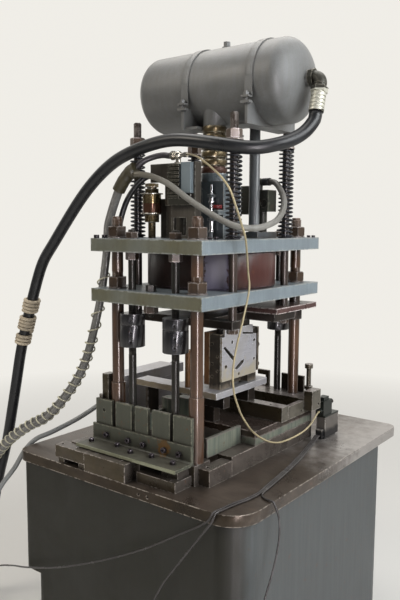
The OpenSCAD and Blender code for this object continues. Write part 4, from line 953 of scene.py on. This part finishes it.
def shaft_shape(x, y, stretches, sides=40):
    """A turned upright from the bottom up: stretches of (bottom, top, radius, thread pitch or 0)."""
    verts = []
    for bottom, top, radius, pitch in stretches:
        rings = max(1, round((top - bottom) / pitch * RINGS_A_TURN)) if pitch else 1
        low, high = (radius, radius) if not isinstance(radius, tuple) else radius
        for i in range(rings + 1):
            z = bottom + (top - bottom) * i / rings
            for k, angle in enumerate(round_angles(sides)):
                groove = THREAD_DEPTH * pitch * abs((z / pitch - k / sides) % 1 * 2 - 1) if pitch else 0.0
                r = low + (high - low) * i / rings - groove
                verts.append(at(x + r * math.cos(angle), y + r * math.sin(angle), z))
    return verts, capped_rings(len(verts) // sides, sides)


def crisp(piece):
    """Smooth shading that stops at corners."""
    piece.data.set_sharp_from_angle(angle=math.radians(38))
    return piece


# ---------------------------------------------------------------- hoses and cables
def measured(points):
    """A route's points in the frame, from points given as at() takes them."""
    return [at(*p) for p in points]


MAIN_HOSE = measured([
    (0.424, -0.0301, 1.1768), (0.424, -0.034, 1.1623), (0.422, -0.045, 1.138), (0.415, -0.062, 1.118),
    (0.394, -0.107, 1.088), (0.367, -0.155, 1.070), (0.315, -0.208, 1.056), (0.252, -0.245, 1.064),
    (0.175, -0.262, 1.078), (0.100, -0.267, 1.089), (0.025, -0.268, 1.094), (-0.082, -0.270, 1.079),
    (-0.207, -0.270, 1.043), (-0.310, -0.270, 0.982), (-0.394, -0.270, 0.910), (-0.483, -0.270, 0.816),
    (-0.555, -0.270, 0.736), (-0.608, -0.272, 0.673), (-0.659, -0.280, 0.539), (-0.722, -0.290, 0.339),
    (-0.752, -0.295, 0.205), (-0.784, -0.300, 0.062), (-0.823, -0.300, -0.074), (-0.873, -0.302, -0.210),
    (-0.915, -0.303, -0.345), (-0.948, -0.305, -0.485), (-0.975, -0.307, -0.620), (-1.008, -0.312, -0.720),
    (-1.062, -0.330, -0.772), (-1.125, -0.380, -0.781), (-1.152, -0.460, -0.781), (-1.150, -0.550, -0.781),
    (-1.150, -0.620, -0.781)])
HOSE_BUNDLE = measured([
    (-0.137, -0.280, 0.995), (-0.158, -0.285, 0.973), (-0.180, -0.284, 0.947), (-0.203, -0.282, 0.908),
    (-0.228, -0.279, 0.860), (-0.251, -0.272, 0.817), (-0.265, -0.263, 0.775), (-0.268, -0.264, 0.722),
    (-0.268, -0.273, 0.669), (-0.268, -0.285, 0.606), (-0.269, -0.299, 0.547), (-0.277, -0.312, 0.478),
    (-0.300, -0.315, 0.402), (-0.330, -0.317, 0.329), (-0.370, -0.325, 0.255), (-0.430, -0.351, 0.168),
    (-0.495, -0.364, 0.107), (-0.585, -0.367, 0.060), (-0.679, -0.372, -0.001), (-0.781, -0.365, -0.082),
    (-0.862, -0.362, -0.175), (-0.918, -0.362, -0.290), (-0.948, -0.366, -0.430), (-0.962, -0.374, -0.560),
    (-0.972, -0.392, -0.680), (-0.982, -0.440, -0.756), (-0.990, -0.510, -0.779), (-0.990, -0.590, -0.779),
    (-0.990, -0.660, -0.779)])
GREY_HOSE = measured([
    (0.145, 0.110, 0.976), (0.166, 0.110, 0.976), (0.205, 0.092, 0.971), (0.250, 0.055, 0.944),
    (0.291, 0.010, 0.907), (0.316, -0.037, 0.874), (0.325, -0.080, 0.845), (0.322, -0.120, 0.828),
    (0.310, -0.182, 0.815), (0.274, -0.228, 0.818), (0.217, -0.240, 0.838), (0.133, -0.244, 0.880),
    (0.075, -0.248, 0.914), (0.018, -0.255, 0.952), (-0.019, -0.262, 0.970), (-0.054, -0.272, 0.983),
    (-0.090, -0.284, 0.989), (-0.112, -0.288, 0.988)])
BROWN_HOSE = measured([
    (-0.022, -0.198, 1.053), (-0.036, -0.198, 1.053), (-0.056, -0.201, 1.056), (-0.084, -0.212, 1.052),
    (-0.112, -0.234, 1.038), (-0.131, -0.262, 1.010)])
BLACK_HOSE = measured([
    (-0.132, -0.178, 0.990), (-0.146, -0.178, 0.990), (-0.164, -0.190, 0.977), (-0.180, -0.214, 0.946),
    (-0.191, -0.238, 0.906), (-0.198, -0.254, 0.862), (-0.202, -0.262, 0.826), (-0.202, -0.262, 0.801)])
AIR_TUBE = measured([
    (0.044, -0.198, 1.053), (0.056, -0.198, 1.053), (0.105, -0.225, 1.041), (0.157, -0.250, 1.019),
    (0.198, -0.262, 0.995), (0.233, -0.264, 0.967), (0.270, -0.274, 0.930), (0.294, -0.276, 0.879),
    (0.296, -0.248, 0.826), (0.281, -0.201, 0.777), (0.270, -0.170, 0.682), (0.270, -0.162, 0.617),
    (0.268, -0.192, 0.523), (0.266, -0.221, 0.446), (0.264, -0.239, 0.369), (0.264, -0.234, 0.303),
    (0.264, -0.216, 0.258), (0.264, -0.179, 0.199), (0.264, -0.111, 0.132), (0.266, -0.018, 0.078),
    (0.270, 0.071, 0.056), (0.280, 0.184, 0.061), (0.286, 0.245, 0.080), (0.286, 0.288, 0.105),
    (0.285, 0.308, 0.113), (0.285, 0.318, 0.113)])
FEEDER_CABLE = measured([
    (-0.340, -0.1301, 0.170), (-0.340, -0.146, 0.170), (-0.360, -0.194, 0.153), (-0.405, -0.227, 0.115),
    (-0.450, -0.261, 0.079), (-0.505, -0.330, 0.038), (-0.543, -0.371, 0.015), (-0.571, -0.404, -0.026),
    (-0.590, -0.440, -0.090), (-0.612, -0.484, -0.150), (-0.630, -0.518, -0.220), (-0.646, -0.548, -0.330),
    (-0.655, -0.570, -0.460), (-0.660, -0.584, -0.600), (-0.666, -0.602, -0.710), (-0.678, -0.640, -0.775),
    (-0.692, -0.700, -0.791), (-0.692, -0.760, -0.791)])


def switch_lead(side):
    """The stretch that the three switch cables share, lying side by side on the table."""
    return [(0.281 + side, 0.322, 0.018), (0.281 + side, 0.306, 0.018), (0.283 + side, 0.284, 0.010),
            (0.288 + side, 0.244, 0.0034), (0.328 + side, 0.086, 0.0034), (0.356 + side, -0.059, 0.0034),
            (0.376 + side, -0.187, 0.0034), (0.388 + side, -0.262, 0.0034)]


SWITCH_CABLE_A = measured(switch_lead(-0.007) + [
    (0.378, -0.322, 0.0034), (0.366, -0.380, 0.0034), (0.360, -0.436, 0.0036), (0.359, -0.457, 0.005),
    (0.357, -0.468, 0.003), (0.354, -0.471, -0.006), (0.344, -0.475, -0.024), (0.309, -0.478, -0.050),
    (0.264, -0.480, -0.078), (0.189, -0.482, -0.126), (0.105, -0.484, -0.178),
    (-0.011, -0.486, -0.240), (-0.139, -0.488, -0.301), (-0.300, -0.490, -0.369),
    (-0.486, -0.474, -0.436), (-0.640, -0.425, -0.500), (-0.783, -0.384, -0.566),
    (-0.850, -0.392, -0.620), (-0.886, -0.425, -0.700), (-0.898, -0.490, -0.770),
    (-0.902, -0.560, -0.796), (-0.902, -0.640, -0.796)])
SWITCH_CABLE_B = measured(switch_lead(0) + [
    (0.387, -0.322, 0.0034), (0.376, -0.380, 0.0034), (0.369, -0.436, 0.0036), (0.368, -0.457, 0.005),
    (0.366, -0.468, 0.003), (0.363, -0.471, -0.006), (0.356, -0.476, -0.026), (0.325, -0.486, -0.072),
    (0.254, -0.490, -0.169), (0.190, -0.494, -0.260), (0.135, -0.498, -0.370), (0.100, -0.502, -0.490),
    (0.080, -0.508, -0.620), (0.066, -0.524, -0.730), (0.056, -0.570, -0.788), (0.050, -0.630, -0.796),
    (0.050, -0.690, -0.796)])
SWITCH_CABLE_C = measured(switch_lead(0.007) + [
    (0.414, -0.286, 0.0034), (0.432, -0.294, 0.0036), (0.446, -0.296, 0.005), (0.455, -0.296, 0.003),
    (0.459, -0.295, -0.006), (0.468, -0.294, -0.024), (0.475, -0.294, -0.050), (0.479, -0.298, -0.090),
    (0.480, -0.312, -0.140), (0.480, -0.340, -0.200), (0.478, -0.379, -0.270), (0.476, -0.408, -0.360),
    (0.474, -0.428, -0.480), (0.473, -0.440, -0.610), (0.475, -0.458, -0.720), (0.479, -0.500, -0.786),
    (0.482, -0.560, -0.796), (0.482, -0.620, -0.796)])


def plain_radius(radius):
    """The same radius all along, in the form that tube_mesh takes."""
    return lambda run, angle: radius


def twin_radius(hose, apart, turn=0.0):
    """The outline of two hoses side by side."""
    def at_place(run, angle):
        a = angle + turn
        return apart * abs(math.cos(a)) + math.sqrt(hose ** 2 - (apart * math.sin(a)) ** 2)
    return at_place


def profile_along(start, ahead, profile, sides=32):
    """A turned or many-sided piece: profile is a list of (metres along, radius)."""
    ahead = ahead.normalized()
    side = ahead.orthogonal().normalized()
    other = ahead.cross(side)
    verts = [start + ahead * along + radius * (side * math.cos(angle) + other * math.sin(angle))
             for along, radius in profile for angle in round_angles(sides)]
    return verts, capped_rings(len(profile), sides)


def joined(name, shapes, slot, body="frame", finish=None):
    """One piece from several (vertices, faces) shapes."""
    verts, faces = [], []
    for some_verts, some_faces in shapes:
        first = len(verts)
        verts += some_verts
        faces += [tuple(first + i for i in face) for face in some_faces]
    return new_piece(name, verts, faces, slot, body, finish=finish)


def sharp_edges(piece, width=0.0006, angle=32):
    """Small rounded edges and smooth shading that stops at corners."""
    bevel = piece.modifiers.new("edges", "BEVEL")
    bevel.width = width
    bevel.segments = 2
    bevel.limit_method = "ANGLE"
    bevel.angle_limit = math.radians(angle)
    bevel.harden_normals = True
    return piece


def hose_end(name, route, radius, length, slot):
    """A hydraulic hose end: crimped collar, hexagon and threaded nose, lying on in the hose's direction."""
    start = route[-1].copy()
    ahead = start - route[-2]
    ahead.z = 0
    start.z = max(start.z, radius)
    collar = [(0, radius * 0.93), (0.001, radius)]
    for i in range(4):
        collar += [(length * (0.06 + 0.11 * i), radius), (length * (0.08 + 0.11 * i), radius * 0.94),
                   (length * (0.13 + 0.11 * i), radius * 0.94), (length * (0.15 + 0.11 * i), radius)]
    collar += [(length * 0.55, radius), (length * 0.58, radius * 0.8)]
    nose = [(length * 0.70, radius * 0.62)]
    for i in range(7):
        nose += [(length * (0.72 + 0.036 * i), radius * 0.60), (length * (0.738 + 0.036 * i), radius * 0.66)]
    nose += [(length * 0.985, radius * 0.60), (length, radius * 0.5)]
    hexagon = [(length * 0.55, radius * 0.9), (length * 0.565, radius * 0.99), (length * 0.69, radius * 0.99),
               (length * 0.705, radius * 0.88)]
    piece = joined(name, [profile_along(start, ahead, collar), profile_along(start, ahead, hexagon, 6),
                          profile_along(start, ahead, nose)], slot)
    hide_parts("cord_fittings")
    return sharp_edges(piece)


STIFF_REACH = 0.028  # the length over which the main hose evens out a bend


def cord_piece(node, points, diameter, slot, step, sides, stiffness="medium", radius=None,
               with_pieces=()):
    """A cord's cover along its route; radius is given if it isn't plainly round."""
    route = laid_route(points, step, diameter / 2)
    if stiffness == "stiff" and not radius:
        route = relaxed(route, STIFF_REACH)
    verts, faces, uvs = tube_mesh(route, radius or plain_radius(diameter / 2), sides)
    piece = new_piece(node + "_cover", verts, faces, slot, uvs=uvs)
    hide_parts(node)
    return route


def make_rope_wraps():
    """Rope wound round the main hose in three bands, where it was once tied up."""
    route = relaxed(smooth_route(MAIN_HOSE, 0.006), STIFF_REACH)
    bands = [(1.500, 1.552, 0.0262), (1.576, 1.634, 0.0262), (1.652, 1.694, 0.0252)]
    meshes = [wound(route, start, end, "cream_tube", pitch=0.0135, radius=radius, strand=0.0072)
              for start, end, radius in bands]
    return grown_piece("rope_wraps", meshes, "cream_tube", finish=OWN_FINISH["rope"])


def make_spiral_wrap():
    """A thin strip wound round both hoses of the bundle, from below the lower plate to its fitting."""
    route = laid_route(HOSE_BUNDLE, 0.004, 0.0235)
    start, closer, end = 0.365, 0.62, 2.25
    meshes = [wound(route, low, high, "cream_tube", pitch=pitch, radius=0.0196, strand=0.0028)
              for low, high, pitch in ((start, closer, 0.060), (closer, end, 0.036))]
    return grown_piece("spiral_wrap", meshes, "cream_tube", finish=OWN_FINISH["binding"])


def make_tape():
    """Tape where the brown and the grey hose come together and the bundle starts."""
    route = smooth_route([at(-0.116, -0.277, 1.002), *HOSE_BUNDLE[:3], at(-0.186, -0.2838, 0.938)], 0.002)
    plain, flare, flare_length, strip, edge = 0.0222, 0.0075, 0.036, 0.019, 0.0010

    def radius(run, angle):
        funnel = max(0.0, 1 - run / flare_length)
        turn = (run / strip + angle / (2 * math.pi)) % 1.0
        return plain + flare * funnel ** 1.5 - edge * (1 - turn ** 0.5)
    return new_piece("hose_tape", *tube_mesh(route, radius, 36)[:2], "sleeve_grey", finish=OWN_FINISH["tape"])


def make_cords():
    main_end = hose_end("main_hose_end", MAIN_HOSE, radius=0.019, length=0.060, slot="bright_steel")
    bundle_end = hose_end("hose_bundle_end", HOSE_BUNDLE, radius=0.021, length=0.060, slot="dark_steel")
    feeder_end = hose_end("feeder_cable_end", FEEDER_CABLE, radius=0.009, length=0.050, slot="bright_steel")
    switch_cables = dict(zip("abc", (SWITCH_CABLE_A, SWITCH_CABLE_B, SWITCH_CABLE_C)))
    switch_ends = {key: hose_end("switch_cable_end_" + key, points, radius=0.0048, length=0.032,
                                 slot="dark_steel") for key, points in switch_cables.items()}
    cord_piece("main_hose", MAIN_HOSE, 0.042, "black_rubber", step=0.012, sides=28,
               stiffness="stiff", with_pieces=[main_end, make_rope_wraps()])
    cord_piece("hose_bundle", HOSE_BUNDLE, 0.042, "sleeve_grey", step=0.008, sides=40,
               stiffness="stiff", radius=twin_radius(0.0115, 0.0090, turn=1.2),
               with_pieces=[bundle_end, make_spiral_wrap(), make_tape()])
    cap_points = 9
    cap_route = smooth_route(GREY_HOSE, 0.004)[:cap_points]
    cap = new_piece("grey_hose_cap", *tube_mesh(cap_route, plain_radius(0.0135), 24)[:2], "black_rubber")
    cord_piece("grey_hose", GREY_HOSE, 0.020, "grey_hose", step=0.008, sides=20, with_pieces=[cap])
    cord_piece("brown_hose", BROWN_HOSE, 0.020, "brown_hose", step=0.008, sides=20)
    cord_piece("black_hose", BLACK_HOSE, 0.020, "black_rubber", step=0.008, sides=20)
    cord_piece("air_tube", AIR_TUBE, 0.0065, "cream_tube", step=0.010, sides=14)
    cord_piece("feeder_cable", FEEDER_CABLE, 0.018, "grey_cable", step=0.010, sides=18,
               with_pieces=[feeder_end])
    for key, points in switch_cables.items():
        cord_piece("switch_cable_" + key, points, 0.0064, "dark_cable", step=0.008, sides=12,
                   with_pieces=[switch_ends[key]])


make_cords()


# ---------------------------------------------------------------- the frame's uprights, nuts and springs
def above_table(node, end):
    """The height of a node's lowest (0) or highest (1) corner above the table."""
    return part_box(node)[end].z - table_top_z


LOW, LOW_TOP = above_table("lower_plate", 0), above_table("lower_plate", 1)
HIGH, TOP = above_table("top_plate", 0), above_table("top_plate", 1)
SHELF = above_table("platen_shelf", 0)
PLATEN = above_table("platen", 0)
SPRING_TOP = above_table("return_springs", 1)
FRONT_FOOT, REAR_FOOT = 0.066, 0.173
POST = (0.172, 0.307)
TIE = (0.094, 0.318)
SPRING = (0.208, 0.164)
JACK = (0.0, -0.330)


def make_posts():
    """Four ground posts with a neck through the plates and threads under their nuts; sleeves in front."""
    radius, neck, sleeve, tip, pitch = 0.0205, 0.0195, 0.0245, 0.0160, 0.003
    sleeve_top = 0.280
    sleeved = [(FRONT_FOOT, sleeve_top - 0.001, sleeve, 0),
               (sleeve_top - 0.001, sleeve_top, (sleeve, 0.0235), 0), (sleeve_top, LOW, radius, 0)]
    plain = [(REAR_FOOT, LOW, radius, 0)]
    upper = [(LOW, LOW_TOP, neck, 0), (LOW_TOP, LOW_TOP + 0.056, neck, pitch),
             (LOW_TOP + 0.056, TOP, neck, 0), (TOP, TOP + 0.066, neck, pitch),
             (TOP + 0.066, TOP + 0.071, tip, 0), (TOP + 0.071, TOP + 0.073, (tip, 0.0145), 0)]
    shapes = [shaft_shape(sx * POST[0], sy * POST[1], (plain if sy > 0 else sleeved) + upper)
              for sx, sy in SIGNS]
    piece = crisp(joined("posts_turned", shapes, SLOT_OF["posts"], finish=finish_of("posts")))
    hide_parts("posts")


def make_tie_rods():
    """Rods in two lengths that meet in their couplings, and the jack bolt in front."""
    radius, pitch = 0.013, 0.0025
    coupling_low, meet, coupling_high = 0.388, 0.471, 0.556
    shapes = []
    for sx, sy in SIGNS:
        foot = FRONT_FOOT if sy < 0 else REAR_FOOT
        x, y = sx * TIE[0], sy * TIE[1]
        shapes.append(shaft_shape(x, y, [(foot, coupling_low, radius, 0),
                                         (coupling_low, meet - 0.001, radius, pitch)]))
        shapes.append(shaft_shape(x, y, [
            (meet + 0.001, coupling_high, radius, pitch), (coupling_high, TOP, radius, 0),
            (TOP, TOP + 0.0285, radius, pitch), (TOP + 0.0285, TOP + 0.030, (0.012, 0.0105), 0)]))
    shapes.append(shaft_shape(*JACK, [(LOW - 0.039, LOW - 0.037, (0.0085, 0.0095), 0),
                                      (LOW - 0.037, LOW, 0.010, 0.002), (LOW, LOW_TOP + 0.021, 0.010, 0)]))
    head, faces = nut_shape(0.030, 0.022, 0.0199)
    turn = Matrix.Rotation(math.radians(12), 3, "Z")
    shapes.append(([at(*JACK, LOW_TOP) + turn @ Vector(v) for v in head], faces))
    piece = crisp(joined("tie_rods_turned", shapes, SLOT_OF["tie_rods"], finish=finish_of("tie_rods")))
    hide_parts("tie_rods")


def make_frame_nuts():
    """Washers and nuts of the posts, nuts of the tie rods and the jack bolt's lock nut."""
    slot = SLOT_OF["frame_nuts"]
    post_bore, tie_bore, washer = 0.0393, 0.0263, 0.004
    seats = [place for z in (LOW_TOP, TOP) for place in corners(*POST, z)]
    below, lock = 0.027, 0.026
    meshes = [copies(washer_shape(0.066, washer, post_bore), seats, slot),
              copies(nut_shape(0.058, 0.036, post_bore, base=washer), seats, slot, turn=42),
              copies(nut_shape(0.038, below, tie_bore), corners(*TIE, HIGH - below), slot, turn=12),
              copies(nut_shape(0.038, 0.022, tie_bore), corners(*TIE, TOP), slot, turn=38),
              copies(nut_shape(0.042, lock, 0.0203), [at(*JACK, LOW - lock)], slot, turn=5)]
    piece = grown_piece("frame_nuts_chamfered", meshes, slot, finish=finish_of("frame_nuts"))
    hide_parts("frame_nuts")


def make_spring_rods():
    """The rods that the springs pull up by, with the washers and nuts at both ends."""
    rod, thread = 0.014, 0.084
    shapes = [shaft_shape(sx * SPRING[0], sy * SPRING[1], [
        (PLATEN - 0.004, SHELF, 0.010, 0.002), (SHELF, SPRING_TOP, rod, 0),
        (SPRING_TOP, SPRING_TOP + thread, rod, 0.0025),
        (SPRING_TOP + thread, SPRING_TOP + thread + 0.003, 0.011, 0)]) for sx, sy in SIGNS]
    slot = SLOT_OF["spring_rods"]
    piece = crisp(joined("spring_rods_turned", shapes, slot, "ram", finish_of("spring_rods")))
    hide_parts("spring_rods")
    slot = SLOT_OF["spring_nuts"]
    seats = corners(*SPRING, SPRING_TOP)
    washer, bore, below = 0.005, 0.0283, 0.016
    meshes = [copies(washer_shape(0.060, washer, bore), seats, slot),
              copies(nut_shape(0.046, 0.030, bore, base=washer), seats, slot, turn=10),
              copies(nut_shape(0.034, below, 0.0203), corners(*SPRING, PLATEN - below), slot)]
    piece = grown_piece("spring_nuts_chamfered", meshes, slot, "ram", finish_of("spring_nuts"))
    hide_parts("spring_nuts")


def make_springs():
    """Coil springs that stand on the top plate and reach up to the spring rods' washers."""
    length = SPRING_TOP - TOP
    slot = SLOT_OF["return_springs"]
    mesh = grown_mesh("coil springs", corners(*SPRING, TOP), slot, Turns=23.0, Radius=0.024, Wire=0.0064,
                      Length=length)
    piece = grown_piece("return_springs_wire", [mesh], slot)
    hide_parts("return_springs")
    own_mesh(piece)


make_posts()
make_tie_rods()
make_frame_nuts()
make_spring_rods()
make_springs()


# ---------------------------------------------------------------- CAD nodes: finish and edges
EDGE_WIDTH = {"tank_shell": 0.0015, "lower_plate": 0.0018, "top_plate": 0.0018, "table_top": 0.004,
              "front_bars": 0.0016, "die_shoe": 0.0014, "cylinder_barrel": 0.002}


def dress_node(node):
    """A CAD node keeps its shape: its flat faces are joined up and its edges get a small round."""
    thing = frame["nodes"][node]
    material = finish_of(node)
    thing.data.materials.clear()
    thing.data.materials.append(material)
    weld = thing.modifiers.new("weld", "WELD")
    weld.merge_threshold = 0.00002
    flat = thing.modifiers.new("flat faces", "DECIMATE")
    flat.decimate_type = "DISSOLVE"
    flat.angle_limit = math.radians(0.6)
    bevel = sharp_edges(thing, EDGE_WIDTH.get(node, 0.0010), 34).modifiers["edges"]
    bevel.use_clamp_overlap = True


for node in frame["nodes"]:
    dress_node(node)


# ---------------------------------------------------------------- end
bpy.context.view_layer.update()
